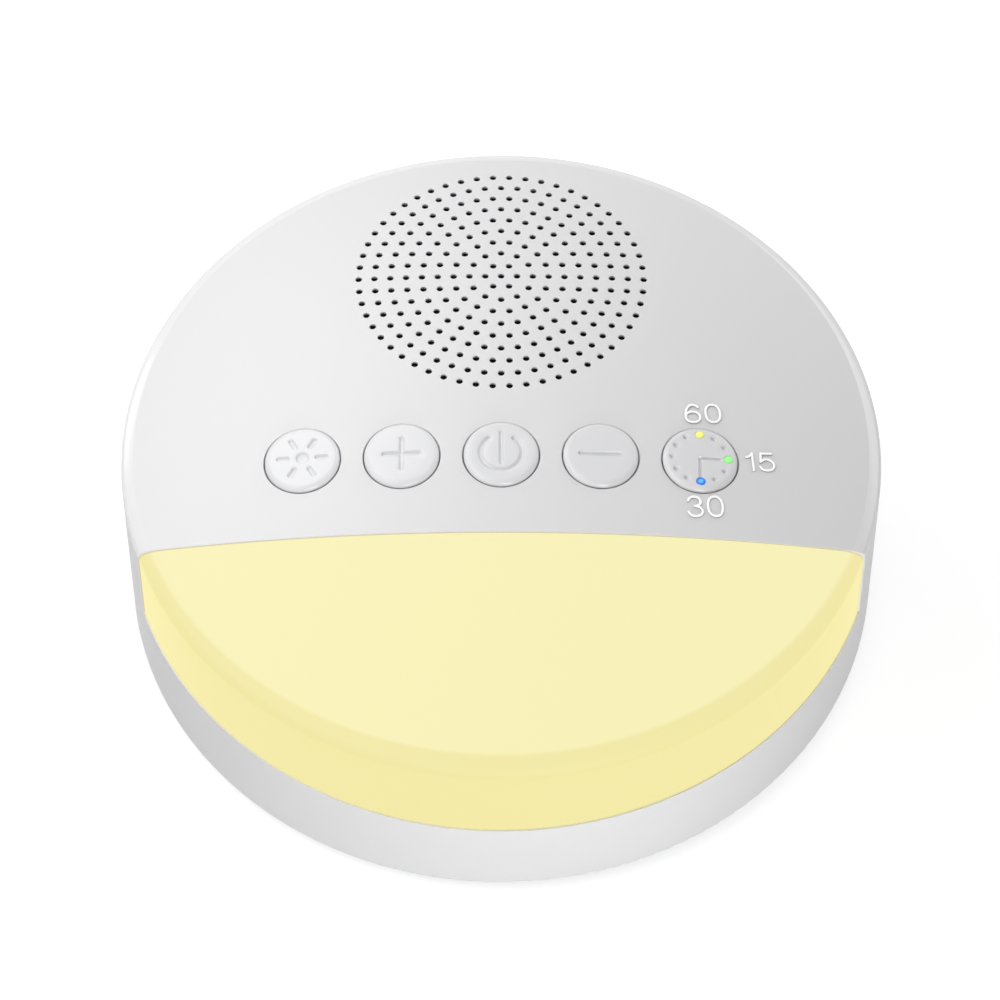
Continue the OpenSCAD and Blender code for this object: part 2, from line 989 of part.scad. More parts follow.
module speaker_frame() {
    color(steel)
    at_speaker() {
        difference() {
            union() {
                post(speaker_r, cone_top - speaker_flange_t, cone_top);
                for (a = ear_angles)
                    rotate(a)
                        ear();
                translate([0, 0, basket_floor])
                    cylinder(r1 = basket_low_r, r2 = basket_r,
                             h = cone_top - speaker_flange_t - basket_floor + eps);
                rotate(terminal_turn)
                    translate([basket_low_r - terminal_root, -terminal_strip[1] / 2,
                               terminal_z - terminal_strip[2]])
                        cube(terminal_strip);
            }
            translate([0, 0, basket_low])
                cylinder(r1 = basket_low_r - basket_t, r2 = basket_r - basket_t,
                         h = cone_top - basket_low + eps);
            post(gap_r + basket_bore_gap, basket_floor - 1, basket_low + 1);
            for (a = [45:90:315])
                rotate(a)
                    translate([window_at, -window_w / 2, spider_z + spider_t])
                        cube([basket_r, window_w, window_h]);
            for (a = ear_angles)
                rotate(a)
                    translate([ear_at, 0])
                        post(small_screw_r + board_hole_gap, cone_top - speaker_flange_t - 1,
                             cone_top + 1);
        }
        ring(spider_r - spider_land, basket_low_r - basket_t / 2, basket_low - eps,
             spider_z - spider_t / 2);
    }
}

module ear() {
    translate([ear_at, 0])
        post(ear_r, cone_top - speaker_flange_t, cone_top);
    translate([speaker_r - ear_root, -ear_r, cone_top - speaker_flange_t])
        cube([ear_at - speaker_r + ear_root, 2 * ear_r, speaker_flange_t]);
}

module speaker_gasket() {
    color(dark_cloth)
    at_speaker()
        ring(seat_in_r - gasket_inset[0], speaker_r - gasket_inset[1], cone_top, 0);
}

module speaker_surround() {
    color(black_plastic)
    at_speaker()
        rotate_extrude() {
            difference() {
                translate([roll_at, cone_top])
                    circle(r = roll_r);
                translate([roll_at, cone_top])
                    circle(r = roll_r - surround_t);
                translate([roll_at - 2 * roll_r, cone_top - 2 * roll_r])
                    square([4 * roll_r, 2 * roll_r]);
            }
            translate([cone_r - roll_land, cone_top])
                square([roll_land + surround_t, surround_t]);
            translate([roll_at + roll_r - surround_t, cone_top])
                square([seat_in_r - roll_land - roll_at - roll_r + surround_t, surround_t]);
        }
}

module speaker_cone() {
    color("#2a2a2c")
    at_speaker()
        rotate_extrude()
            polygon([[cone_neck_r, cone_neck], [cone_neck_r + cone_t, cone_neck],
                     [cone_r - cone_land_low, cone_top - cone_t], [cone_r, cone_top - cone_t],
                     [cone_r, cone_top], [cone_r - cone_land, cone_top],
                     [cone_neck_r, cone_neck + cone_t]]);
}

module speaker_dust_cap() {
    rise = (cone_top - cone_neck - cone_t) / (cone_r - cone_land - cone_neck_r);
    foot = cone_neck + cone_t + (dust_cap_r - cone_neck_r) * rise + dust_gap;
    foot_in_ball = sqrt(pow(dust_ball_r, 2) - pow(dust_cap_r, 2));
    color(black_plastic)
    at_speaker()
        translate([0, 0, foot - foot_in_ball])
            difference() {
                intersection() {
                    sphere(r = dust_ball_r);
                    post(dust_cap_r, foot_in_ball, dust_ball_r);
                }
                sphere(r = dust_ball_r - dust_cap_t);
            }
}

module voice_coil() {
    color(copper)
    at_speaker() {
        ring(coil_r, cone_neck_r, coil_low, cone_neck + cone_t);
        ring(cone_neck_r - eps, coil_r + coil_t, coil_low, basket_floor + coil_above);
    }
}

module speaker_spider() {
    color("#c8a25a")
    at_speaker()
        difference() {
            ring(cone_neck_r + spider_gap, spider_r, spider_z - spider_t / 2,
                 spider_z + spider_t / 2);
            for (r = spider_groove_top)
                ring(r - spider_groove_w / 2, r + spider_groove_w / 2,
                     spider_z + spider_web, spider_z + spider_t);
            for (r = spider_groove_low)
                ring(r - spider_groove_w / 2, r + spider_groove_w / 2,
                     spider_z - spider_t, spider_z - spider_web);
        }
}

module speaker_top_plate() {
    color(steel)
    at_speaker()
        ring(gap_r, top_plate_r, plate_low, basket_floor);
}

module speaker_magnet() {
    color(ferrite)
    at_speaker()
        ring(magnet_hole_r, magnet_r, magnet_low, plate_low);
}

module speaker_yoke() {
    color(steel)
    at_speaker() {
        post(top_plate_r, yoke_low, magnet_low);
        post(pole_r, magnet_low - eps, basket_floor + pole_above);
    }
}

module speaker_terminals() {
    color(copper)
    at_speaker()
        for (s = [-1, 1])
            rotate(terminal_turn)
                translate([terminal_r, s * terminal_gap - terminal[1] / 2, terminal_z])
                    cube(terminal);
}

module speaker_screws() {
    color(steel)
    at_speaker()
        for (a = ear_angles)
            rotate(a)
                translate([ear_at, 0, cone_top - speaker_flange_t])
                    screw(small_screw_r, speaker_flange_t + speaker_screw_bite,
                          small_head_r, small_head_h);
}

// ---- night light -------------------------------------------------------------

lamp_angles = [for (i = [0:lamp_count - 1])
    270 + lamp_arc * (i / (lamp_count - 1) - 0.5)];

module light_board() {
    color("#f0f0ea")
    difference() {
        intersection() {
            post(reflector_r, light_board_z, lamp_z);
            in_front_of(light_board_edge);
        }
        for (p = light_posts)
            translate(p)
                post(small_screw_r + board_hole_gap, light_board_z - 1, lamp_z + 1);
    }
}

module light_board_lamps() {
    color("#fff3b0")
    for (a = lamp_angles)
        rotate(a)
            translate([lamp_ring_r - lamp_w / 2, -lamp_w / 2, lamp_z])
                cube([lamp_w, lamp_w, lamp_h]);
}

module light_reflector() {
    window = lamp_w + 2 * lamp_window_gap;
    color("#fbfbf8")
    difference() {
        union() {
            intersection() {
                post(reflector_r, lamp_z, lamp_z + reflector_t);
                in_front_of(baffle_y + baffle_t);
            }
            intersection() {
                ring(reflector_r - reflector_t, reflector_r, lamp_z,
                     lamp_z + reflector_rim_h);
                in_front_of(baffle_y + baffle_t);
            }
            intersection() {
                post(reflector_r, lamp_z, apex);
                crown_ball(lens_lip_depth + lens_strip_t + baffle_top_gap);
                behind(baffle_y);
                in_front_of(baffle_y + baffle_t);
            }
        }
        for (a = lamp_angles)
            rotate(a)
                translate([lamp_ring_r - window / 2, -window / 2, lamp_z - 1])
                    cube([window, window, reflector_t + 2]);
        for (p = light_posts)
            translate(p)
                post(small_screw_r + board_hole_gap, lamp_z - 1, lamp_z + reflector_t + 1);
    }
}

module light_board_screws() {
    length = reflector_t + light_board_t + light_screw_bite;
    color(steel)
    for (p = light_posts)
        translate([p[0], p[1], lamp_z + reflector_t])
            rotate([180, 0, 0])
                screw(small_screw_r, length, small_head_r, small_head_h);
}

// ---- main board and battery ----------------------------------------------------

module main_board() {
    color(board_green)
    difference() {
        intersection() {
            translate([-main_w / 2, main_front, main_z])
                cube([main_w, body_r, board_t]);
            post(main_r, main_z, main_top);
        }
        for (p = main_posts)
            translate(p)
                post(small_screw_r + board_hole_gap, main_z - 1, main_top + 1);
    }
}

module chip(x, y, w, d, h) {
    translate([x - w / 2, y - d / 2, main_top])
        cube([w, d, h]);
}

module board_chips() {
    color(black_plastic)
    for (c = chips)
        chip(c[0], c[1], c[2], c[3], c[4]);
}

module board_capacitors() {
    color("#c9ccd0")
    for (p = capacitors)
        translate(p)
            post(capacitor_r, main_top, main_top + capacitor_h);
}

module wire_sockets() {
    color("#f3f0e6")
    for (p = [each board_sockets, speaker_socket])
        chip(p[0], p[1], socket_size[0], socket_size[1], socket_size[2]);
}

module usb_socket() {
    color(steel)
    translate([-socket_x, usb_mouth, usb_z])
        rotate([90, 0, 0]) {
            difference() {
                linear_extrude(usb_l)
                    bar(usb_w, usb_h);
                translate([0, 0, -1])
                    linear_extrude(usb_l - usb_shell_t + 1)
                        bar(usb_w - 2 * usb_shell_t, usb_h - 2 * usb_shell_t);
            }
            translate([-usb_tongue[0] / 2, -usb_tongue[1] / 2, usb_tongue[2]])
                cube([usb_tongue[0], usb_tongue[1], usb_l - usb_tongue[2]]);
        }
}

module headphone_jack() {
    back = jack_mouth - jack_nose_l;
    color(black_plastic)
    difference() {
        union() {
            translate([socket_x - jack_size[0] / 2, back - jack_size[1], main_top])
                cube([jack_size[0], jack_size[1], jack_size[2]]);
            translate([socket_x, back - eps, jack_z])
                rotate([-90, 0, 0])
                    cylinder(r = jack_nose_r, h = jack_nose_l + eps);
        }
        translate([socket_x, jack_mouth - jack_depth, jack_z])
            rotate([-90, 0, 0])
                cylinder(r = jack_bore_r, h = jack_depth + 1);
    }
}

module main_board_screws() {
    color(steel)
    for (p = main_posts)
        translate([p[0], p[1], main_top])
            rotate([180, 0, 0])
                screw(small_screw_r, board_t + standoff_h + main_screw_bite,
                      small_head_r, small_head_h);
}

module battery() {
    color("#6f8fb0")
    translate([0, battery_y, battery_z])
        linear_extrude(battery_t)
            round_rect(battery_l, battery_w, battery_round);
}

module battery_pad() {
    color(dark_cloth)
    translate([0, battery_y, z_floor])
        linear_extrude(pad_t)
            round_rect(battery_l - pad_inset, battery_w - pad_inset, pad_round);
}

module battery_leads() {
    socket = board_sockets[0];
    color("#b02020")
    for (s = [-1, 1])
        wire([socket[0] + s * lead_gap, battery_back, battery_z + battery_lead_at * battery_t],
             [0, battery_lead_run[0], 0], [0, battery_lead_run[1], 0],
             [socket[0] + s * lead_gap, socket[1] - socket_size[1] / 2,
              main_top + socket_size[2] / 2]);
}

module light_leads() {
    socket = board_sockets[1];
    color("#d8d8d8")
    for (s = [-1, 1])
        wire([socket[0] + s * lead_gap, light_board_edge, light_board_z + light_board_t / 2],
             [0, light_lead_run[0], 0], [0, 0, -light_lead_run[1]],
             [socket[0] + s * lead_gap, socket[1], main_top + socket_size[2]]);
}

module button_leads() {
    socket = board_sockets[2];
    color("#404040")
    for (s = [-1, 0, 1])
        wire([socket[0] + s * button_lead_gap, socket[1] - button_lead_front, button_board_z],
             [0, 0, -button_lead_run[0]], [0, 0, -button_lead_run[1]],
             [socket[0] + s * button_lead_gap, socket[1], main_top + socket_size[2]]);
}

module speaker_leads() {
    out = [cos(terminal_turn), sin(terminal_turn), 0];
    along = [-sin(terminal_turn), cos(terminal_turn), 0];
    tip = (terminal_r + terminal[0]) * out + [0, 0, terminal_z + terminal[2] / 2];
    color("#b02020")
    for (s = [-1, 1])
        wire([0, grille_back, seat_z] + tip + s * terminal_gap * along,
             speaker_lead_run[0] * out, [0, 0, -speaker_lead_run[1]],
             [speaker_socket[0] + s * lead_gap, speaker_socket[1],
              main_top + socket_size[2]], r = terminal[2] / 2);
}

// ---- the part ------------------------------------------------------------------

base_tray();
top_cover();
night_light_lens();
grille_cloth();
brightness_button();
volume_up_button();
power_button();
volume_down_button();
timer_button();
plunger(0);  // brightness_plunger
plunger(1);  // volume_up_plunger
plunger(2);  // power_plunger
plunger(3);  // volume_down_plunger
plunger(4);  // timer_plunger
color("#f5e04a") timer_light(light_angles[0]);  // timer_light_yellow
color("#7be070") timer_light(light_angles[1]);  // timer_light_green
color("#1878f0") timer_light(light_angles[2]);  // timer_light_blue
tact_switches();
button_board();
indicator_leds();
button_board_screws();
speaker_frame();
speaker_gasket();
speaker_surround();
speaker_cone();
speaker_dust_cap();
voice_coil();
speaker_spider();
speaker_top_plate();
speaker_magnet();
speaker_yoke();
speaker_terminals();
speaker_screws();
light_board();
light_board_lamps();
light_reflector();
light_board_screws();
main_board();
board_chips();
board_capacitors();
wire_sockets();
usb_socket();
headphone_jack();
main_board_screws();
battery();
battery_pad();
battery_leads();
speaker_leads();
light_leads();
button_leads();
case_screws();
rubber_feet();
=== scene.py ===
import json
import math

import bmesh
import bpy
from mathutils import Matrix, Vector
from mathutils.geometry import delaunay_2d_cdt
from mathutils.kdtree import KDTree


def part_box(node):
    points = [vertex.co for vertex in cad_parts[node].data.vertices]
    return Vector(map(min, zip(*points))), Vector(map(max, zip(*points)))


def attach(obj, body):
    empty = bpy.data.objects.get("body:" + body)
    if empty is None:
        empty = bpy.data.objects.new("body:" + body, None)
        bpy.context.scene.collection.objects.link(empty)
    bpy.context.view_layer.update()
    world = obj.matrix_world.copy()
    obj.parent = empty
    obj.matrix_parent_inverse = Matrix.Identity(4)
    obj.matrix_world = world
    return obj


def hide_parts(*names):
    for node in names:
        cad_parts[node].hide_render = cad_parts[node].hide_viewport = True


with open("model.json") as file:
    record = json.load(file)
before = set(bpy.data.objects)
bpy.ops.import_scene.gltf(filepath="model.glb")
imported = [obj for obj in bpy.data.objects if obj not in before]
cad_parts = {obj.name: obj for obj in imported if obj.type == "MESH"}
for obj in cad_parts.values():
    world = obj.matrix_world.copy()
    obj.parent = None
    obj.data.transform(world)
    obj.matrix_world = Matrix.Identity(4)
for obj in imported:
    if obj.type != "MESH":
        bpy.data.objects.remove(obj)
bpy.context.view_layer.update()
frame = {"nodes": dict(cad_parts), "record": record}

# Lengths in this script are millimetres; makePiece turns them into metres.
perMetre = 1000.0
weld = 0.002                 # points closer than this become one
hairline = 1e-5              # the same, while a flat face is cut up


def nodeBox(name):
    low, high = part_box(name)
    return low * perMetre, high * perMetre


def middleOf(name):
    return [(a + b) / 2 for a, b in zip(*nodeBox(name))]


# camera, lights and floor

camera = {
    "place": (-0.18, -414.9, 620.8),
    "tilt": 34.6,        # degrees from straight down
    "lens": 171.3,
    "sensor": 36.0,
}

lamps = {
    "key": {"place": (-80, 16, 150), "aim": (-16, 0, 30), "size": (330, 80), "watts": 0.165},
    "left": {"place": (-250, 190, 130), "aim": (-10, 0, 30), "size": (95, 45), "watts": 0.085},
    "right": {"place": (235, 211, 150), "aim": (20, 0, 30), "size": (300, 110), "watts": 0.245},
    "front": {"place": (50, -247, 63), "aim": (0, 0, 20), "size": (83, 150), "watts": 0.245},
    "above": {"place": (-20, 90, 260), "aim": (0, 0, 30), "size": (260, 200), "watts": 0.045},
}

surroundings = {
    "ambient": "#A2A2A2",     # light that comes from the whole room
    "floorColour": "#DCDCDC",
    "floorGlow": 0.55,        # what the camera sees on top of the floor's own light
    "floorSize": 6000,
}


def linear(code):
    channels = [int(code[i:i + 2], 16) / 255 for i in (1, 3, 5)]
    bend = [c / 12.92 if c <= 0.04045 else ((c + 0.055) / 1.055) ** 2.4 for c in channels]
    return (*bend, 1.0)


def addNode(tree, kind, settings=None, inputs=None):
    node = tree.nodes.new(kind)
    for name, value in (settings or {}).items():
        setattr(node, name, value)
    for name, value in (inputs or {}).items():
        socket = node.inputs[name]
        if isinstance(value, bpy.types.NodeSocket):
            tree.links.new(value, socket)
        else:
            socket.default_value = value
    return node


def newMaterial(name):
    material = bpy.data.materials.new(name)
    material.use_nodes = True
    material.node_tree.nodes.clear()
    return material, material.node_tree


def seenDirectly(tree):
    # 1 for what the camera sees, also in a mirror or through glass
    path = addNode(tree, "ShaderNodeLightPath")
    either = addNode(tree, "ShaderNodeMath", {"operation": "MAXIMUM"},
                     {0: path.outputs["Is Camera Ray"], 1: path.outputs["Is Glossy Ray"]})
    return addNode(tree, "ShaderNodeMath", {"operation": "MAXIMUM"},
                   {0: either.outputs[0], 1: path.outputs["Is Transmission Ray"]}).outputs[0]


def makeCamera():
    data = bpy.data.cameras.new("camera")
    data.lens = camera["lens"]
    data.sensor_width = camera["sensor"]
    data.clip_start = 0.01
    seat = bpy.data.objects.new("camera", data)
    seat.location = Vector(camera["place"]) / perMetre
    seat.rotation_euler = (math.radians(camera["tilt"]), 0, 0)
    bpy.context.scene.collection.objects.link(seat)
    bpy.context.scene.camera = seat


def makeLamps():
    for name, lamp in lamps.items():
        data = bpy.data.lights.new(name, "AREA")
        data.shape = "RECTANGLE"
        data.size = lamp["size"][0] / perMetre
        data.size_y = lamp["size"][1] / perMetre
        data.energy = lamp["watts"]
        holder = bpy.data.objects.new(name, data)
        holder.location = Vector(lamp["place"]) / perMetre
        look = Vector(lamp["aim"]) - Vector(lamp["place"])
        holder.rotation_euler = look.to_track_quat("-Z", "Y").to_euler()
        holder.visible_camera = False
        bpy.context.scene.collection.objects.link(holder)


def makeRoom():
    scene = bpy.context.scene
    scene.view_settings.view_transform = "Standard"
    world = bpy.data.worlds.new("room")
    scene.world = world
    world.use_nodes = True
    tree = world.node_tree
    tree.nodes.clear()
    ambient = addNode(tree, "ShaderNodeBackground", None,
                      {"Color": linear(surroundings["ambient"])})
    white = addNode(tree, "ShaderNodeBackground", None, {"Color": (1, 1, 1, 1)})
    mix = addNode(tree, "ShaderNodeMixShader", None,
                  {0: seenDirectly(tree), 1: ambient.outputs[0], 2: white.outputs[0]})
    addNode(tree, "ShaderNodeOutputWorld", None, {"Surface": mix.outputs[0]})

    material, tree = newMaterial("paintedFloor")     # matt paint, pale, with the soft shadow on it
    paint = addNode(tree, "ShaderNodeBsdfDiffuse", None,
                    {"Color": linear(surroundings["floorColour"])})
    strength = addNode(tree, "ShaderNodeMath", {"operation": "MULTIPLY"},
                       {0: seenDirectly(tree), 1: surroundings["floorGlow"]})
    glow = addNode(tree, "ShaderNodeEmission", None, {"Strength": strength.outputs[0]})
    both = addNode(tree, "ShaderNodeAddShader", None, {0: paint.outputs[0], 1: glow.outputs[0]})
    addNode(tree, "ShaderNodeOutputMaterial", None, {"Surface": both.outputs[0]})
    half = surroundings["floorSize"] / 2 / perMetre
    mesh = bpy.data.meshes.new("floor")
    mesh.from_pydata([(-half, -half, 0), (half, -half, 0), (half, half, 0), (-half, half, 0)],
                     [], [(0, 1, 2, 3)])
    mesh.materials.append(material)
    floor = bpy.data.objects.new("floor", mesh)
    scene.collection.objects.link(floor)


makeCamera()
makeLamps()
makeRoom()
print("camera, lamps and floor are in place")


# the case's measures

case = {
    "wall": 2.0,
    "crown": 270.0,          # radius of the domed top
    "edge": 1.8,             # rounding that the rim stays inside of
    "plate": 53.9,           # the deck's own radius, inside the skirt
    "lipOut": 55.3,          # outer radius of the lips behind the wall
    "lipDrop": 2.5,          # how far the cover's lip reaches under the parting line
    "wallEdge": (0.12, 3),   # rounding of the wall's lower edge; each rounding is (size, steps)
    "seamTurn": 0.5,         # degrees that the columns keep from the seam
    "columns": 240,          # round the half circle
    "chordSteps": 72,        # along the seam
    "rimSteps": 8,
    "bandShares": (0, 0.03, 0.25, 0.5, 0.75, 1),     # where the rim's band has its rows
    "facets": {"top": 2.2, "under": 2.6, "grille": 2.4},     # spacing of the mesh's points
}
# the rim's band: where it leaves the dome, how softly, its outer end (radius, and height over
# the parting line) and how far it bulges; then the outer radius and the rounding at the seam
coverRim = {"creaseAt": 55.6, "blend": 0.05, "end": (56.95, 1.2), "bulge": 0.03,
            "wallR": 57.5, "seamRound": (0.15, 4)}
lensRim = {"creaseAt": 54.6, "blend": 0.3, "end": (56.2, 1.3), "bulge": 0.02,
           "wallR": 57.3, "seamRound": (0.3, 4)}
bodyR = nodeBox("base_tray")[1].x
partZ = nodeBox("base_tray")[1].z        # the parting line
coverLow = nodeBox("top_cover")[0]
lensLow = nodeBox("night_light_lens")[0]
rimR = bodyR - case["edge"]
crownCentre = partZ - math.sqrt((case["crown"] - case["edge"]) ** 2 - rimR ** 2)


def crownZ(x, y, depth=0.0):
    return crownCentre + math.sqrt((case["crown"] - depth) ** 2 - x * x - y * y)


# the recipes of the materials

waveTurn = 0.314             # the wave texture's scale at which a wave is a millimetre long


def inMillimetres(tree, stretch=(1, 1, 1)):
    # object coordinates in millimetres, so that every pattern has its real size
    where = addNode(tree, "ShaderNodeTexCoord").outputs["Object"]
    return addNode(tree, "ShaderNodeMapping", None, {
        "Vector": where, "Scale": [perMetre * s for s in stretch]}).outputs[0]


def zone(tree, middle, axes, span):
    # 0 to 1, softly, where the distance from the middle along the chosen axes passes the span
    where = addNode(tree, "ShaderNodeTexCoord").outputs["Object"]
    offset = addNode(tree, "ShaderNodeMapping", None, {
        "Vector": where, "Location": [-m for m in middle],
        "Scale": [perMetre * axis for axis in axes]}).outputs[0]
    away = addNode(tree, "ShaderNodeVectorMath", {"operation": "LENGTH"}, {0: offset})
    return addNode(tree, "ShaderNodeMapRange", {"interpolation_type": "SMOOTHSTEP"}, {
        "Value": away.outputs["Value"], "From Min": span[0], "From Max": span[1]}).outputs["Result"]


def grainedSurface(name, look, detail=3.0):
    # a new material with the fine grain that its making left
    material, tree = newMaterial(name)
    grain = addNode(tree, "ShaderNodeTexNoise", None, {
        "Vector": inMillimetres(tree, look.get("stretch", (1, 1, 1))),
        "Scale": 1 / look["grain"], "Detail": detail}).outputs["Fac"]
    return material, tree, grain


def finishSurface(tree, look, tone, relief, more):
    # the tone mixes the two colours; the relief drives the roughness and the bump
    sockets = dict(more)
    if "Base Color" not in more:
        sockets["Base Color"] = addNode(tree, "ShaderNodeMix", {"data_type": "RGBA"}, {
            "Factor": tone, 6: linear(look["colour"]), 7: linear(look["worn"])}).outputs[2]
    if "Roughness" not in more:
        low, high = look["roughness"]
        sockets["Roughness"] = addNode(tree, "ShaderNodeMapRange", None, {
            "Value": relief, "To Min": low, "To Max": high}).outputs["Result"]
    if "depth" in look:
        sockets["Normal"] = addNode(tree, "ShaderNodeBump", None, {
            "Height": relief, "Strength": 1.0, "Distance": look["depth"] / perMetre}).outputs[0]
    shader = addNode(tree, "ShaderNodeBsdfPrincipled", None, sockets)
    addNode(tree, "ShaderNodeOutputMaterial", None, {"Surface": shader.outputs[0]})


def mouldedPlastic(name, look):
    # a plastic takes the mould's grain: broad, soft highlights that are a little uneven
    material, tree, grain = grainedSurface(name, look)
    clouds = addNode(tree, "ShaderNodeTexNoise", None, {
        "Vector": inMillimetres(tree), "Scale": 1 / look.get("patch", 12.0)}).outputs["Fac"]
    finishSurface(tree, look, clouds, grain, {
        "IOR": look.get("ior", 1.5), "Specular IOR Level": look.get("shine", 0.5)})
    return material


def twoFinishPlasticPaintedRimHighlight(name, look):
    # the deck comes from a spark-eroded mould face, its rim from a polished one: the fine
    # grain scatters the light on the deck, and the rim stays sharper. The rim's band also
    # gets a brighter colour, a painted highlight
    material, tree, grain = grainedSurface(name, look)
    rim = zone(tree, (0, 0, 0), (1, 1, 0), look["rimFrom"])
    low, high = look["roughness"]
    grained = addNode(tree, "ShaderNodeMapRange", None, {
        "Value": grain, "To Min": low, "To Max": high}).outputs["Result"]
    roughness = addNode(tree, "ShaderNodeMapRange", None, {
        "Value": rim, "To Min": grained, "To Max": look["rimRoughness"]}).outputs["Result"]
    # the rim zone mixes in the brighter second colour: painted highlight on the band
    finishSurface(tree, look, rim, grain, {"Roughness": roughness, "IOR": 1.53})
    return material


def metalPart(name, look):
    # a bare metal mirrors the room, drawn out along the way it was rolled, turned or plated
    material, tree, streaks = grainedSurface(name, look, 4.0)
    patches = addNode(tree, "ShaderNodeTexNoise", None, {
        "Vector": inMillimetres(tree), "Scale": 1 / look.get("patch", 6.0)}).outputs["Fac"]
    finishSurface(tree, look, patches, streaks, {"Metallic": 1.0})
    return material


def wovenCloth(name, look):
    # threads over and under each other: matt, with a dark point at each crossing
    material, tree = newMaterial(name)
    threads = [addNode(tree, "ShaderNodeTexWave", {"bands_direction": direction}, {
        "Vector": inMillimetres(tree), "Scale": waveTurn / look["thread"]}).outputs["Fac"]
        for direction in ("X", "Y")]
    weave = addNode(tree, "ShaderNodeMath", {"operation": "MULTIPLY"},
                    {0: threads[0], 1: threads[1]}).outputs[0]
    finishSurface(tree, look, weave, weave, {"Roughness": 0.9})
    return material


def pressedPaper(name, look):
    # fibres lie every way and leave a felt-like, matt face
    material, tree = newMaterial(name)
    fibres = addNode(tree, "ShaderNodeTexNoise", {"noise_type": "RIDGED_MULTIFRACTAL"}, {
        "Vector": inMillimetres(tree), "Scale": 1 / look["grain"], "Detail": 4.0}).outputs["Fac"]
    finishSurface(tree, look, fibres, fibres, {"Roughness": 0.85})
    return material


def boardLaminate(name, look):
    # solder mask over glass cloth: glossy, with the tracks showing through as a second tone
    material, tree, cloth = grainedSurface(name, look, 2.0)
    cells = addNode(tree, "ShaderNodeTexVoronoi", {"feature": "DISTANCE_TO_EDGE"}, {
        "Vector": inMillimetres(tree), "Scale": 1 / look["tracks"]}).outputs["Distance"]
    lines = addNode(tree, "ShaderNodeMath", {"operation": "LESS_THAN"},
                    {0: cells, 1: look["trackWidth"]}).outputs[0]
    low, high = look["roughness"]
    roughness = addNode(tree, "ShaderNodeMapRange", None, {
        "Value": cloth, "To Min": low, "To Max": high}).outputs["Result"]
    finishSurface(tree, look, lines, lines, {"Roughness": roughness, "Coat Weight": 0.3})
    return material


def woundWire(name, look):
    # enamelled copper, one turn above the other, darker in the grooves and lighter on the turns:
    # painted shade and highlight
    material, tree = newMaterial(name)
    turns = addNode(tree, "ShaderNodeTexWave", {"bands_direction": "Z"}, {
        "Vector": inMillimetres(tree), "Scale": waveTurn / look["turn"]}).outputs["Fac"]
    finishSurface(tree, look, turns, turns, {"Metallic": 1.0})
    return material


def diffuserPolycarbonate(name, look):
    # opal polycarbonate, lit from inside: it glows evenly, a little less in its thick corner
    # under the rim and on the side wall, so most of its colour is its own light
    material, tree, grain = grainedSurface(name, look)
    glow = linear(look["colour"])
    parts = {"corner": zone(tree, (0, look["cornerY"], 0), (1, 1, 0), look["cornerFrom"]),
             "side": zone(tree, (0, 0, 0), (0, 0, 1), look["sideFrom"])}
    for part, share in parts.items():
        glow = addNode(tree, "ShaderNodeMix", {"data_type": "RGBA"}, {
            "Factor": share, 6: glow, 7: linear(look[part])}).outputs[2]
    finishSurface(tree, look, None, grain, {
        "Base Color": linear(look["shell"]), "IOR": 1.58, "Specular IOR Level": look["shine"],
        "Emission Color": glow, "Emission Strength": look["glow"]})
    return material


def colouredLight(name, look):
    # a short rod of tinted acrylic: brightest in the middle, where one looks down its length
    material, tree, grain = grainedSurface(name, look, 2.0)
    x, y, _ = middleOf(look["node"])
    edge = zone(tree, (x, y, 0), (1, 1, 0), look["edgeFrom"])
    colour = addNode(tree, "ShaderNodeMix", {"data_type": "RGBA"}, {
        "Factor": edge, 6: linear(look["colour"]), 7: linear(look["edge"])}).outputs[2]
    finishSurface(tree, look, None, grain, {
        "Base Color": colour, "IOR": 1.49,
        "Emission Color": colour, "Emission Strength": look["glow"]})
    return material


def printedInkPaintedGlowAndShade(name, look):
    # raised figures: opaque white ink on their tops with a painted glow, and their sides a darker
    # grey than the shell, a painted shadow
    material, tree, grain = grainedSurface(name, look)
    span = [case["crown"] + rise for rise in look["inkFrom"]]
    top = zone(tree, (0, 0, crownCentre), (1, 1, 1), span)
    # painted glow on the ink's tops
    glow = addNode(tree, "ShaderNodeMapRange", None, {
        "Value": top, "To Min": 0.0, "To Max": look["glow"]}).outputs["Result"]
    finishSurface(tree, look, top, grain, {
        "Emission Color": linear(look["worn"]), "Emission Strength": glow})
    return material


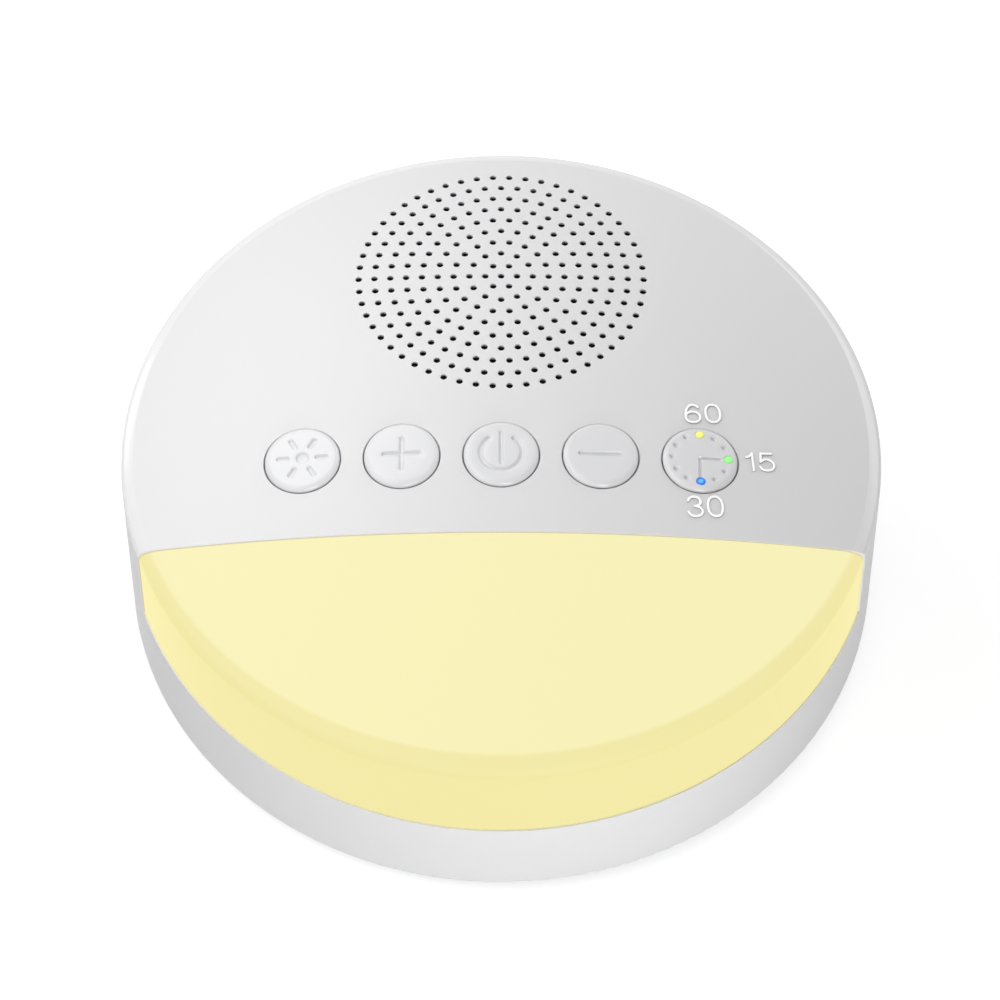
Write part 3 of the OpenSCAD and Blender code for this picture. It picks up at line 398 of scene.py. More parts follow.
# Each entry: what the real material is, then its two tones, its grain in millimetres
# and the depth of that grain.
finishes = {
    # injection-moulded ABS, satin: soft broad highlights, no sparkle
    "case_white": (mouldedPlastic, "whiteMouldedAbs", {
        "colour": "#E9E9EA", "worn": "#E7E7E9", "grain": 0.35, "depth": 0.0015,
        "roughness": (0.5, 0.58), "ior": 1.53, "shine": 0.3}),
    # the caps: the same ABS from a polished mould, a little brighter
    "button_white": (mouldedPlastic, "polishedWhiteAbs", {
        "colour": "#E6E6E7", "worn": "#E4E4E6", "grain": 0.3, "depth": 0.001,
        "roughness": (0.22, 0.28), "ior": 1.53}),
    "lens_yellow": (diffuserPolycarbonate, "opalPolycarbonate", {
        "shell": "#3C3B35", "colour": "#F0E9B0", "corner": "#EAE19E", "side": "#E9DF98",
        "cornerY": 1.76, "cornerFrom": (55.85, 56.65), "sideFrom": (32.6, 31.3),
        "grain": 0.4, "depth": 0.001, "roughness": (0.55, 0.62), "shine": 0.25, "glow": 1.0}),
    # black acoustic cloth, plain weave: hardly any light comes back
    "black_cloth": (wovenCloth, "acousticCloth", {
        "colour": "#060607", "worn": "#141416", "thread": 0.35, "depth": 0.08}),
    # glass-filled nylon: dark, matt, faintly speckled
    "black_plastic": (mouldedPlastic, "blackNylon", {
        "colour": "#1C1C1E", "worn": "#242426", "grain": 0.25, "depth": 0.003,
        "roughness": (0.45, 0.6)}),
    "light_yellow": (colouredLight, "yellowAcrylic", {
        "node": "timer_light_yellow", "edgeFrom": (0.3, 0.66), "grain": 0.3,
        "roughness": (0.12, 0.2), "colour": "#F4F07C", "edge": "#D4D678", "glow": 0.3}),
    "light_green": (colouredLight, "greenAcrylic", {
        "node": "timer_light_green", "edgeFrom": (0.3, 0.66), "grain": 0.3,
        "roughness": (0.12, 0.2), "colour": "#9CF08E", "edge": "#84E080", "glow": 0.36}),
    "light_blue": (colouredLight, "blueAcrylic", {
        "node": "timer_light_blue", "edgeFrom": (0.1, 0.6), "grain": 0.3,
        "roughness": (0.12, 0.2), "colour": "#58BCFA", "edge": "#0E66D2", "glow": 0.4}),
    # green solder mask on glass-cloth laminate
    "board_green": (boardLaminate, "greenLaminate", {
        "colour": "#1D5B34", "worn": "#2B7A48", "tracks": 2.5, "trackWidth": 0.08,
        "grain": 0.4, "depth": 0.03, "roughness": (0.25, 0.38)}),
    # white solder mask, to throw the lamps' light forward
    "board_white": (boardLaminate, "whiteLaminate", {
        "colour": "#E6E6E0", "worn": "#D8D8D0", "tracks": 3.0, "trackWidth": 0.08,
        "grain": 0.4, "depth": 0.03, "roughness": (0.28, 0.4)}),
    # lamp bodies: clear silicone over phosphor, pale yellow and smooth
    "lamp_white": (mouldedPlastic, "phosphorSilicone", {
        "colour": "#F4E9AE", "worn": "#F1E39C", "grain": 0.5, "depth": 0.001,
        "roughness": (0.2, 0.3), "ior": 1.41}),
    # high-reflectance polypropylene: chalky white
    "reflector_white": (mouldedPlastic, "whitePolypropylene", {
        "colour": "#F1F1EE", "worn": "#ECECE8", "grain": 0.3, "depth": 0.002,
        "roughness": (0.55, 0.65), "ior": 1.49}),
    # zinc-plated steel: bluish grey, with faint drawing lines
    "steel": (metalPart, "zincPlatedSteel", {
        "colour": "#B4B7BC", "worn": "#A3A7AD", "grain": 0.3, "stretch": (1, 1, 0.2),
        "depth": 0.002, "roughness": (0.25, 0.4)}),
    # pressed steel with a black electrophoretic coat: satin black
    "frame_black": (mouldedPlastic, "coatedSteelBasket", {
        "colour": "#17171A", "worn": "#1F1F22", "grain": 0.4, "depth": 0.002,
        "roughness": (0.35, 0.5), "ior": 1.55}),
    # open-cell polyurethane foam: pitted and matt
    "foam_black": (pressedPaper, "polyurethaneFoam", {
        "colour": "#121214", "worn": "#26262A", "grain": 0.5, "depth": 0.1}),
    # nitrile rubber roll: dull black
    "rubber_black": (mouldedPlastic, "nitrileRubber", {
        "colour": "#18181A", "worn": "#1E1E20", "grain": 0.3, "depth": 0.002,
        "roughness": (0.6, 0.75), "ior": 1.52}),
    "cone_paper": (pressedPaper, "pressedPaperCone", {
        "colour": "#1A1A1B", "worn": "#2E2D2C", "grain": 1.2, "depth": 0.04}),
    # the darker colour is painted shade in the grooves between turns, the lighter one a painted
    # highlight on the turns
    "copper": (woundWire, "enamelledCopper", {
        "colour": "#7C3F20", "worn": "#C77A4A", "turn": 0.12, "depth": 0.03,
        "roughness": (0.2, 0.35)}),
    # resin-dipped cotton: ochre and matt
    "spider_cloth": (wovenCloth, "resinedCotton", {
        "colour": "#A9803F", "worn": "#CFA766", "thread": 0.4, "depth": 0.08}),
    # sintered ferrite: dark grey, ground faces with a dull shine
    "ferrite": (mouldedPlastic, "sinteredFerrite", {
        "colour": "#333337", "worn": "#3E3E43", "grain": 0.15, "depth": 0.004,
        "roughness": (0.4, 0.6), "ior": 2.2}),
    # drawn aluminium cans: bright, with fine upright lines
    "can_aluminium": (metalPart, "drawnAluminium", {
        "colour": "#C9CCD0", "worn": "#B9BCC2", "grain": 0.25, "stretch": (1, 1, 0.15),
        "depth": 0.002, "roughness": (0.25, 0.38)}),
    # natural nylon of wire connectors: ivory, waxy
    "socket_ivory": (mouldedPlastic, "naturalNylon", {
        "colour": "#E9E3D0", "worn": "#E2DAC2", "grain": 0.3, "depth": 0.002,
        "roughness": (0.4, 0.5)}),
    # nickel-plated stainless shell: warm grey, close to a mirror
    "plated_shell": (metalPart, "nickelPlate", {
        "colour": "#C4C3BF", "worn": "#B5B3AD", "grain": 0.2, "stretch": (0.3, 1, 1),
        "depth": 0.001, "roughness": (0.18, 0.28)}),
    # shrunk PVC sleeve of a pouch cell: blue, glossy, a little wavy
    "battery_wrap": (mouldedPlastic, "shrunkPvc", {
        "colour": "#5E7FA3", "worn": "#6B8BAD", "grain": 4.0, "depth": 0.03,
        "roughness": (0.25, 0.35), "ior": 1.53}),
    # PVC wire insulation: smooth, half glossy
    "wire_red": (mouldedPlastic, "redPvc", {
        "colour": "#B01E22", "worn": "#A2181D", "grain": 0.6, "depth": 0.002,
        "roughness": (0.35, 0.45)}),
    "wire_grey": (mouldedPlastic, "greyPvc", {
        "colour": "#77797C", "worn": "#6C6E72", "grain": 0.6, "depth": 0.002,
        "roughness": (0.35, 0.45)}),
    # thermoplastic rubber feet: grey, dull, grippy
    "rubber_grey": (mouldedPlastic, "thermoplasticRubber", {
        "colour": "#8B8B8E", "worn": "#828286", "grain": 0.3, "depth": 0.006,
        "roughness": (0.65, 0.8), "ior": 1.51}),
}

# pieces that share a slot with the case but have a finish of their own
extraFinishes = {
    "deck": (twoFinishPlasticPaintedRimHighlight, "texturedWhiteAbs", {
        # the second, brighter colour is a painted highlight on the rim's band, not wear
        "colour": "#E4E3E4", "worn": "#EEEDEE", "rimFrom": (55.57, 55.63), "rimRoughness": 0.24,
        "grain": 0.35, "depth": 0.0015, "roughness": (0.4, 0.48)}),
    "ink": (printedInkPaintedGlowAndShade, "whiteInk", {
        # the grey colour is a painted shadow on the figures' sides, the glow a painted glow on
        # their white tops
        "colour": "#ABAAAB", "worn": "#FCFCFC", "inkFrom": (0.16, 0.21), "grain": 0.2,
        "roughness": (0.45, 0.6), "glow": 0.22}),
}

materials = {}
for slotName, (recipe, materialName, look) in {**finishes, **extraFinishes}.items():
    materials[slotName] = recipe(materialName, look)

slotOf = {m["node"]: m["material_slot"] for m in frame["record"]["subparts"]}
for nodeName, node in frame["nodes"].items():
    if not node.data.materials:
        node.data.materials.append(None)
    for nodeSlot in node.material_slots:
        nodeSlot.material = materials[slotOf[nodeName]]
print("materials are made:", len(materials))


# tools that make meshes

def loft(faces, rows, closed=True):
    for low, high in zip(rows, rows[1:]):
        count = len(low)
        for i in range(count if closed else count - 1):
            j = (i + 1) % count
            faces.append((low[i], low[j], high[j], high[i]))


def circle(x, y, radius, steps):
    turn = 2 * math.pi / steps
    return [(x + radius * math.cos(turn * i), y + radius * math.sin(turn * i))
            for i in range(steps)]


def polar(radius, degrees):
    angle = math.radians(degrees)
    return radius * math.cos(angle), radius * math.sin(angle)


def lifted(loop, height):
    return [(x, y, height(x, y)) for x, y in loop]


def lowered(height, drop):
    return lambda x, y: height(x, y) - drop


def flat(z):
    return lambda x, y: z


def leftward(loop):
    # the same loop, run so that its inside lies on the left
    area = sum(a[0] * b[1] - b[0] * a[1] for a, b in zip(loop, [*loop[1:], loop[0]]))
    return loop if area > 0 else loop[::-1]


def sheet(faces, outline, cuts, height, spacing):
    # fills a flat outline with triangles, leaves the cuts open and lifts all of it to height(x, y)
    clear = 0.55 * spacing       # the inner points stay this far from every edge point
    points = []
    rings = []
    for loop in map(leftward, [outline, *cuts]):
        rings.append(list(range(len(points), len(points) + len(loop))))
        points += [Vector(p[:2]) for p in loop]
    tree = KDTree(len(points))
    for i, p in enumerate(points):
        tree.insert((p.x, p.y, 0), i)
    tree.balance()
    lowX, highX = min(p.x for p in points), max(p.x for p in points)
    lowY, highY = min(p.y for p in points), max(p.y for p in points)
    step = spacing * math.sqrt(3) / 2
    for row in range(int((highY - lowY) / step) + 1):
        y = lowY + row * step
        for column in range(int((highX - lowX) / spacing) + 2):
            x = lowX + (column + 0.5 * (row % 2)) * spacing
            if tree.find((x, y, 0))[2] > clear:
                points.append(Vector((x, y)))
    found, _, triangles, _, _, inside = delaunay_2d_cdt(points, [], rings, 0, hairline)
    for triangle, origin in zip(triangles, inside):
        if list(origin) == [0]:
            faces.append(tuple((found[i].x, found[i].y, height(found[i].x, found[i].y))
                               for i in triangle))


def spread(reach, steps):
    # even places from -reach to reach
    return [reach * (2 * i / steps - 1) for i in range(steps + 1)]


def roundSteps(size, count):
    # (distance from the edge, drop) along a quarter round, from the flat face to the wall
    turns = [math.pi / 2 * i / count for i in range(count + 1)]
    return [(size * (1 - math.sin(t)), size * (1 - math.cos(t))) for t in turns]


def makePiece(name, faces, slotName, body, replaced=(), sharp=38, finishName=None):
    corners = {}
    places = []
    polygons = []
    for face in faces:
        polygon = []
        for p in face:
            key = (round(p[0], 3), round(p[1], 3), round(p[2], 3))
            if key not in corners:
                corners[key] = len(places)
                places.append([c / perMetre for c in p])
            if corners[key] not in polygon:
                polygon.append(corners[key])
        if len(polygon) > 2:
            polygons.append(polygon)
    mesh = bpy.data.meshes.new(name)
    mesh.from_pydata(places, [], polygons)
    work = bmesh.new()
    work.from_mesh(mesh)
    bmesh.ops.remove_doubles(work, verts=work.verts, dist=weld / perMetre)
    bmesh.ops.recalc_face_normals(work, faces=work.faces)
    work.to_mesh(mesh)
    work.free()
    mesh.shade_smooth()
    mesh.set_sharp_from_angle(angle=math.radians(sharp))
    mesh.materials.append(materials[finishName or slotName])
    piece = bpy.data.objects.new(name, mesh)
    bpy.context.scene.collection.objects.link(piece)
    weights = piece.modifiers.new("flatFaces", "WEIGHTED_NORMAL")
    weights.keep_sharp = True
    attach(piece, body)
    if replaced:
        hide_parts(*replaced)


# the case: cover and lens share the dome, the rim and the seam

def deckAt(depth):
    return lambda x, y: crownZ(x, y, depth)


def domeRow(radius, depth=0.0):
    # radius, height and outward normal of a ring of the dome
    lean = math.asin(radius / (case["crown"] - depth))
    return (radius, crownZ(radius, 0, depth), math.sin(lean), math.cos(lean))


def rimRows(rim):
    # the dome's outer part, a crease, a band that leans out, and a round into the wall
    start = Vector((rim["creaseAt"], crownZ(rim["creaseAt"], 0)))
    end = Vector((rim["end"][0], partZ + rim["end"][1]))
    way = (end - start).normalized()
    out = Vector((-way.y, way.x))
    rows = [domeRow(case["plate"]), domeRow(rim["creaseAt"] - rim["blend"])]
    for share in case["bandShares"]:
        p = start.lerp(end, share) + out * rim["bulge"] * 4 * share * (1 - share)
        slope = math.atan2(-way.y, way.x)
        slope += rim["bulge"] * 8 * (share - 0.5) / (end - start).length
        rows.append((p.x, p.y, math.sin(slope), math.cos(slope)))
    first = math.pi / 2 - slope
    r = (rim["wallR"] - end.x) / (1 - math.cos(first))
    middle = end.y - r * math.sin(first)
    for i in range(1, case["rimSteps"] + 1):
        a = first * (1 - i / case["rimSteps"])
        rows.append((rim["wallR"] - r + r * math.cos(a), middle + r * math.sin(a),
                     math.cos(a), math.sin(a)))
    return rows


def edgeRows(rim, z):
    # the wall's lower edge, rounded
    return [(rim["wallR"] - drop, z + away, 1, 0)
            for away, drop in roundSteps(*case["wallEdge"])]


def halfShell(faces, cut, seamRound, outer, inner, holes, underHoles):
    # one side of the round case, from the plane y = cut outwards; the outer rows are rounded
    # at the seam
    seam = roundSteps(*seamRound)
    start = max(math.asin((cut + seamRound[0]) / row[0]) for row in outer + inner)
    start += math.radians(case["seamTurn"])
    span = math.pi - 2 * start

    def seamPoint(row, away, drop):
        radius = row[0] - drop * row[2]
        y = cut + away
        return (math.sqrt(radius ** 2 - y ** 2), y, row[1] - drop * row[3])

    rows = []
    turns = [start + span * k / case["columns"] for k in range(case["columns"] + 1)]
    for row in outer + inner:
        right = [seamPoint(row, away, drop if row in outer else 0) for away, drop in reversed(seam)]
        arc = [(row[0] * math.cos(t), row[0] * math.sin(t), row[1]) for t in turns]
        left = [(-x, y, z) for x, y, z in reversed(right)]
        rows.append(right + arc + left)
    loft(faces, rows, closed=False)

    def chord(reach, y, depth):
        return [(x, y, crownZ(x, y, depth)) for x in spread(reach, case["chordSteps"])]

    strips = [chord(seamPoint(outer[0], away, drop)[0], cut + away, drop) for away, drop in seam]
    loft(faces, strips, closed=False)
    last = len(seam) - 1
    top = rows[0][last:len(rows[0]) - last] + strips[0][1:-1]
    sheet(faces, top, holes, deckAt(0), case["facets"]["top"])

    under = chord(rows[-1][0][0], cut, case["wall"])
    sheet(faces, rows[-1] + under[1:-1], underHoles, deckAt(case["wall"]),
          case["facets"]["under"])
    ring = strips[-1] + [row[0] for row in rows[1:]] + under[-2:0:-1]
    ring += [row[-1] for row in reversed(rows[1:])]
    faces.append(tuple(ring))


grille = {
    "rings": 9,
    "pitch": 2.44,
    "hole": 1.02,
    "round": (0.1, 3),
    "lip": 0.3,           # below this depth a hole opens out
    "under": 1.6,         # and is this wide underneath
    "steps": 16,
    "deck": 0.9,          # thickness of the deck at the holes
    "seatIn": 22.9,
    "seatOut": 23.9,
    "seatSteps": 120,
}
grilleY = middleOf("grille_cloth")[1]
seatZ = nodeBox("speaker_gasket")[1].z

keys = {
    "names": {"brightness": "brightnessCap", "volume_up": "volumeUpCap", "power": "powerCap",
              "volume_down": "volumeDownCap", "timer": "timerCap"},
    "capR": 5.65,
    "holeR": 5.82,
    "holeRound": (0.2, 5),
    "ledge": (5.76, 0.6),    # radius and depth of a small step in the deck's hole
    "proud": 0.75,
    "capRound": (0.9, 8),
    "undercut": 0.25,        # the cap's wall steps in by this below the deck
    "undercutFrom": (1.0, 1.1),
    "flangeR": 6.95,
    "flangeTop": 2.3,        # depth under the dome
    "flange": 1.2,           # its thickness
    "bellR": 3.2,
    "bellTop": 2.0,          # depth under the cap's face
    "pinR": 1.5,
    "facets": 0.8,
    "steps": 96,
}
keyPlaces = [middleOf(keyName + "_plunger")[:2] for keyName in keys["names"]]


def grillePlaces():
    places = [(0.0, grilleY)]
    for ring in range(1, grille["rings"] + 1):
        for k in range(6 * ring):
            x, y = polar(ring * grille["pitch"], 60 * k / ring)
            places.append((x, grilleY + y))
    return places


def cylinder(faces, x, y, radius, low, high, steps=32):
    ends = [lifted(circle(x, y, radius, steps), flat(z)) for z in (low, high)]
    loft(faces, ends)
    faces.append(tuple(reversed(ends[0])))
    faces.append(tuple(ends[1]))


posts = {"circle": 49.2, "angles": (191, 349, 149, 31), "radius": 3.2}


def makeCover():
    faces = []
    holes = []
    underHoles = []
    grilleHoles = []
    small = grille["hole"] / 2
    for x, y in grillePlaces():
        rows = [lifted(circle(x, y, small + away, grille["steps"]), deckAt(drop))
                for away, drop in roundSteps(*grille["round"])]
        for radius, drop in ((small, grille["lip"]), (grille["under"] / 2, grille["deck"])):
            rows.append(lifted(circle(x, y, radius, grille["steps"]), deckAt(drop)))
        loft(faces, rows)
        holes.append(rows[0])
        grilleHoles.append(rows[-1])
    for x, y in keyPlaces:
        rows = [lifted(circle(x, y, keys["holeR"] + away, keys["steps"]), deckAt(drop))
                for away, drop in roundSteps(*keys["holeRound"])]
        ledgeR, ledgeAt = keys["ledge"]
        for radius, drop in ((keys["holeR"], ledgeAt), (ledgeR, ledgeAt), (ledgeR, case["wall"])):
            rows.append(lifted(circle(x, y, radius, keys["steps"]), deckAt(drop)))
        loft(faces, rows)
        holes.append(rows[0])
        underHoles.append(rows[-1])

    # the speaker's seat stands round the thin deck that has the holes
    inside = circle(0, grilleY, grille["seatIn"], grille["seatSteps"])
    outside = circle(0, grilleY, grille["seatOut"], grille["seatSteps"])
    seat = [lifted(inside, deckAt(grille["deck"])), lifted(inside, flat(seatZ)),
            lifted(outside, flat(seatZ)), lifted(outside, deckAt(case["wall"]))]
    loft(faces, seat)
    underHoles.append(seat[-1])
    sheet(faces, seat[0], grilleHoles, deckAt(grille["deck"]), case["facets"]["grille"])

    lip = case["lipOut"]
    coverLip = partZ - case["lipDrop"]
    inner = [(lip, partZ, 0, 0), (lip, coverLip, 0, 0), (case["plate"], coverLip, 0, 0),
             domeRow(case["plate"], case["wall"])]
    outer = rimRows(coverRim) + edgeRows(coverRim, partZ)
    halfShell(faces, coverLow.y, coverRim["seamRound"], outer, inner, holes, underHoles)
    for angle in posts["angles"]:
        x, y = polar(posts["circle"], angle)
        cylinder(faces, x, y, posts["radius"], coverLow.z, crownZ(x, y, case["wall"] / 2))
    makePiece("topCover", faces, "case_white", "case", ["top_cover"], finishName="deck")


lens = {
    "seamY": -18.85,
    "lip": 2.1,              # how far the lip reaches below the wall's underside
    "shelf": 3.0,            # the inner shelf, under the parting line
    "tuckReach": 50.0,
    "tuckSteps": 40,
    # (distance behind the seam, depth) round the strip that closes the seam
    "tuck": [(-3.0, 2.0), (-3.0, 3.35), (2.05, 3.35), (2.05, 2.15)],
}


def makeLens():
    faces = []
    low = lensLow.z + lens["lip"]
    lip = case["lipOut"]
    high = partZ - lens["shelf"]
    innerR = bodyR - case["wall"]
    inner = [(lip, low, 0, 0), (lip, lensLow.z, 0, 0), (case["plate"], lensLow.z, 0, 0),
             (case["plate"], high, 0, 0), (innerR, high, 0, 0), domeRow(innerR, case["wall"])]
    outer = rimRows(lensRim) + edgeRows(lensRim, low)
    halfShell(faces, -lens["seamY"], lensRim["seamRound"], outer, inner, [], [])
    # a strip that tucks under the cover's front edge
    section = [(lens["seamY"] + behind, depth) for behind, depth in lens["tuck"]]
    loops = [[(x, -y, crownZ(x, y, depth)) for y, depth in section]
             for x in spread(lens["tuckReach"], lens["tuckSteps"])]
    loft(faces, loops)
    faces.append(tuple(loops[0]))
    faces.append(tuple(reversed(loops[-1])))
    mirrored = [tuple((x, -y, z) for x, y, z in face) for face in faces]
    makePiece("nightLightLens", mirrored, "lens_yellow", "case", ["night_light_lens"])


makeCover()
makeLens()
print("cover and lens are built")


# caps with their engraved signs

def turned(points, angle):
    c, s = math.cos(angle), math.sin(angle)
    return [(x * c - y * s, x * s + y * c) for x, y in points]


def along(points, closed):
    # the side direction at each point of a path, longer in a corner so that the edge stays
    # parallel, but never more than twice as long
    count = len(points)
    sides = []
    for i in range(count):
        before = points[i - 1] if closed or i > 0 else None
        after = points[(i + 1) % count] if closed or i < count - 1 else None
        here = Vector(points[i])
        ways = []
        if before is not None:
            ways.append((here - Vector(before)).normalized())
        if after is not None:
            ways.append((Vector(after) - here).normalized())
        way = sum(ways, Vector((0, 0))).normalized()
        stretch = 1 / max(0.5, way.dot(ways[0]))
        sides.append(Vector((-way.y, way.x)) * stretch)
    return sides


def strokeLoop(path, offset, turns=8):
    # the line round a stroke with round ends
    sides = along(path, False)
    loop = [Vector(p) + s * offset for p, s in zip(path, sides)]
    for end, back in ((-1, False), (0, True)):
        side = sides[end].normalized() * (-1 if back else 1)
        base = math.atan2(side.y, side.x)
        for i in range(1, turns):
            a = base - math.pi * i / turns
            loop.append(Vector(path[end]) + offset * Vector((math.cos(a), math.sin(a))))
        if not back:
            loop += [Vector(p) - s * offset for p, s in zip(reversed(path), reversed(sides))]
    return [(p.x, p.y) for p in loop]


def plusLoop(arm, offset, turns=8):
    # the line round a plus with round ends
    loop = []
    for quarter in range(4):
        points = [(offset, -offset)]
        for i in range(turns + 1):
            a = -math.pi / 2 + math.pi * i / turns
            points.append((arm + offset * math.cos(a), offset * math.sin(a)))
        loop += turned(points, math.pi / 2 * quarter)
    return loop


def arcPath(radius, first, last, steps):
    return [polar(radius, first + (last - first) * i / steps) for i in range(steps + 1)]


signs = {
    "width": 0.7,
    "depth": 0.43,
    "plus": 6.0,
    "minus": 6.7,
    "rayIn": 1.9,
    "rayOut": 3.9,
    "sun": 0.95,
    "powerR": 3.13,
    "powerGap": 37,
    "powerBar": (-2.1, 3.8),
    "dial": 4.2,
    "dot": 0.4,
    "hand": 0.56,
    "handReach": (3.0, 3.4),
    "steps": {"sun": 32, "power": 48, "dot": 20},
    "facets": 0.6,
    # the groove that a ball-ended cutter leaves: (past the nominal edge, depth), both as shares
    "levels": [(0.38, 0.0), (0.26, 0.04), (0.14, 0.15), (-0.1, 0.47), (-0.35, 0.76),
               (-0.6, 0.94), (-0.78, 1.0)],
}


# short light guides with a domed end, at three of the dial's hours
timerLights = {
    "turns": {"yellow": 90, "green": 0, "blue": 270},
    "radius": 0.7,
    "gap": 0.03,             # to the cap round it
    "depth": 1.4,            # of the hole in the cap
    "steps": 32,
    # (share of the radius, height over the cap's face)
    "end": [(1.0, -0.08), (0.97, -0.02), (0.86, 0.04), (0.6, 0.085), (0.3, 0.1)],
}


def grooveOf(shape, halfWidth, depth):
    # (loop, depth) at each level of a groove
    run = min(halfWidth, signs["width"] / 2)
    return [(shape(halfWidth + run * away), depth * share) for away, share in signs["levels"]]


def strokeOf(path):
    return lambda offset: strokeLoop(path, offset)


def signGrooves(name):
    half = signs["width"] / 2
    depth = signs["depth"]
    steps = signs["steps"]
    if name == "brightness":
        found = [grooveOf(lambda o: circle(0, 0, o, steps["sun"]), signs["sun"], depth)]
        ray = [(signs["rayIn"] + half, 0), (signs["rayOut"] - half, 0)]
        for k in range(6):
            found.append(grooveOf(strokeOf(turned(ray, math.radians(60 * k))), half, depth))
        return found
    if name == "volume_up":
        return [grooveOf(lambda o: plusLoop(signs["plus"] / 2 - half, o), half, depth)]
    if name == "volume_down":
        end = signs["minus"] / 2 - half
        return [grooveOf(strokeOf([(-end, 0), (end, 0)]), half, depth)]
    if name == "power":
        gap = signs["powerGap"]
        ring = arcPath(signs["powerR"], 90 + gap, 450 - gap, steps["power"])
        low, high = signs["powerBar"]
        return [grooveOf(strokeOf(ring), half, depth),
                grooveOf(strokeOf([(0, low + half), (0, high - half)]), half, depth)]
    # the timer: a dot for each hour that has no light, and two hands
    found = []
    for k in range(12):
        if 30 * k not in timerLights["turns"].values():
            x, y = polar(signs["dial"], 30 * k)
            found.append(grooveOf(lambda o, x=x, y=y: circle(x, y, o, steps["dot"]),
                                  signs["dot"], depth))
    right, down = signs["handReach"]
    hands = [(0, -down), (0, 0), (right, 0)]
    found.append(grooveOf(strokeOf(hands), signs["hand"] / 2, depth))
    return found


def makeCap(name, x, y):
    faces = []
    top = lowered(crownZ, -keys["proud"])

    def moved(loop):
        return [(x + px, y + py) for px, py in loop]

    cuts = []
    for groove in signGrooves(name):
        rows = [lifted(moved(loop), lowered(top, drop)) for loop, drop in groove]
        loft(faces, rows)
        cuts.append(rows[0])
        sheet(faces, rows[-1], [], lowered(top, groove[-1][1]), signs["facets"])
    if name == "timer":
        for degrees in timerLights["turns"].values():
            radius = timerLights["radius"] + timerLights["gap"]
            loop = moved(circle(*polar(signs["dial"], degrees), radius, timerLights["steps"]))
            rows = [lifted(loop, top), lifted(loop, lowered(top, timerLights["depth"]))]
            loft(faces, rows)
            cuts.append(rows[0])
            faces.append(tuple(rows[1]))
    steps = keys["steps"]
    rim = [lifted(circle(x, y, keys["capR"] - away, steps), lowered(top, drop))
           for drop, away in reversed(roundSteps(*keys["capRound"]))]
    sheet(faces, rim[0], cuts, top, keys["facets"])

    # under the rim: the wall, a flange that the deck holds back, and the stem on its switch
    low = nodeBox(name + "_button")[0].z
    flangeR = keys["flangeR"]
    flangeLow = crownZ(abs(x) + flangeR, y - flangeR, case["wall"]) - keys["flange"]
    bellTop = lowered(top, keys["bellTop"])
    flangeTop = deckAt(keys["flangeTop"])
    wallR = keys["capR"] - keys["undercut"]
    edgeHigh, edgeLow = keys["undercutFrom"]
    lower = [(keys["capR"], lowered(top, edgeHigh)), (wallR, lowered(top, edgeLow)),
             (wallR, flangeTop), (flangeR, flangeTop), (flangeR, flat(flangeLow)),
             (keys["bellR"], flat(flangeLow)), (keys["bellR"], bellTop), (keys["pinR"], bellTop),
             (keys["pinR"], flat(low))]
    rim += [lifted(circle(x, y, radius, steps), height) for radius, height in lower]
    loft(faces, rim)
    faces.append(tuple(rim[-1]))
    makePiece(keys["names"][name], faces, "button_white", name + "_key", [name + "_button"])


for keyName, (keyX, keyY) in zip(keys["names"], keyPlaces):
    makeCap(keyName, keyX, keyY)


def makeTimerLight(colour):
    name = "timer_light_" + colour
    x, y, _ = middleOf(name)
    face = crownZ(x, y) + keys["proud"]
    radius = timerLights["radius"]
    profile = [(radius, nodeBox(name)[0].z)]
    profile += [(radius * share, face + rise) for share, rise in timerLights["end"]]
    rows = [lifted(circle(x, y, r, timerLights["steps"]), flat(z)) for r, z in profile]
    faces = []
    loft(faces, rows)
    faces.append(tuple(rows[0]))
    faces.append(tuple(rows[-1]))
    makePiece(colour + "TimerLight", faces, "light_" + colour, "timer_key", [name])


for lightColour in timerLights["turns"]:
    makeTimerLight(lightColour)
print("caps and timer lights are built")


# the timer's raised figures, in minutes

figures = {
    "texts": {
        "60": {"at": (30.40, 3.40), "height": 3.65, "pitch": 3.07},
        "15": {"at": (38.69, -4.77), "height": 3.42, "pitch": 2.29},
        "30": {"at": (30.38, -13.39), "height": 3.78, "pitch": 3.07},
    },
    "turn": 4.5,             # degrees, against the slope of the dome
    "width": 2.6,
    "stroke": 0.4,
    "proud": 0.28,
    # a stroke's section: (share of its half width, share of its height)
    "section": [(1.0, -0.2), (1.0, 0.35), (0.93, 0.6), (0.78, 0.82), (0.5, 0.95), (0.0, 1.0)],
}


def smooth(points, steps=5):
    # a curve through the points
    ends = [points[0], *points, points[-1]]
    path = []
    for a, b, c, d in zip(ends, ends[1:], ends[2:], ends[3:]):
        for i in range(steps):
            t = i / steps
            path.append(tuple(
                0.5 * (2 * b[k] + (c[k] - a[k]) * t
                       + (2 * a[k] - 5 * b[k] + 4 * c[k] - d[k]) * t ** 2
                       + (3 * b[k] - a[k] - 3 * c[k] + d[k]) * t ** 3) for k in (0, 1)))
    path.append(points[-1])
    return path


def oval(x, y, halfW, halfH, power=2.3, steps=40):
    # a ring a little squarer than an ellipse
    ring = []
    for i in range(steps):
        c, s = math.cos(2 * math.pi * i / steps), math.sin(2 * math.pi * i / steps)
        ring.append((x + halfW * math.copysign(abs(c) ** (2 / power), c),
                     y + halfH * math.copysign(abs(s) ** (2 / power), s)))
    return ring


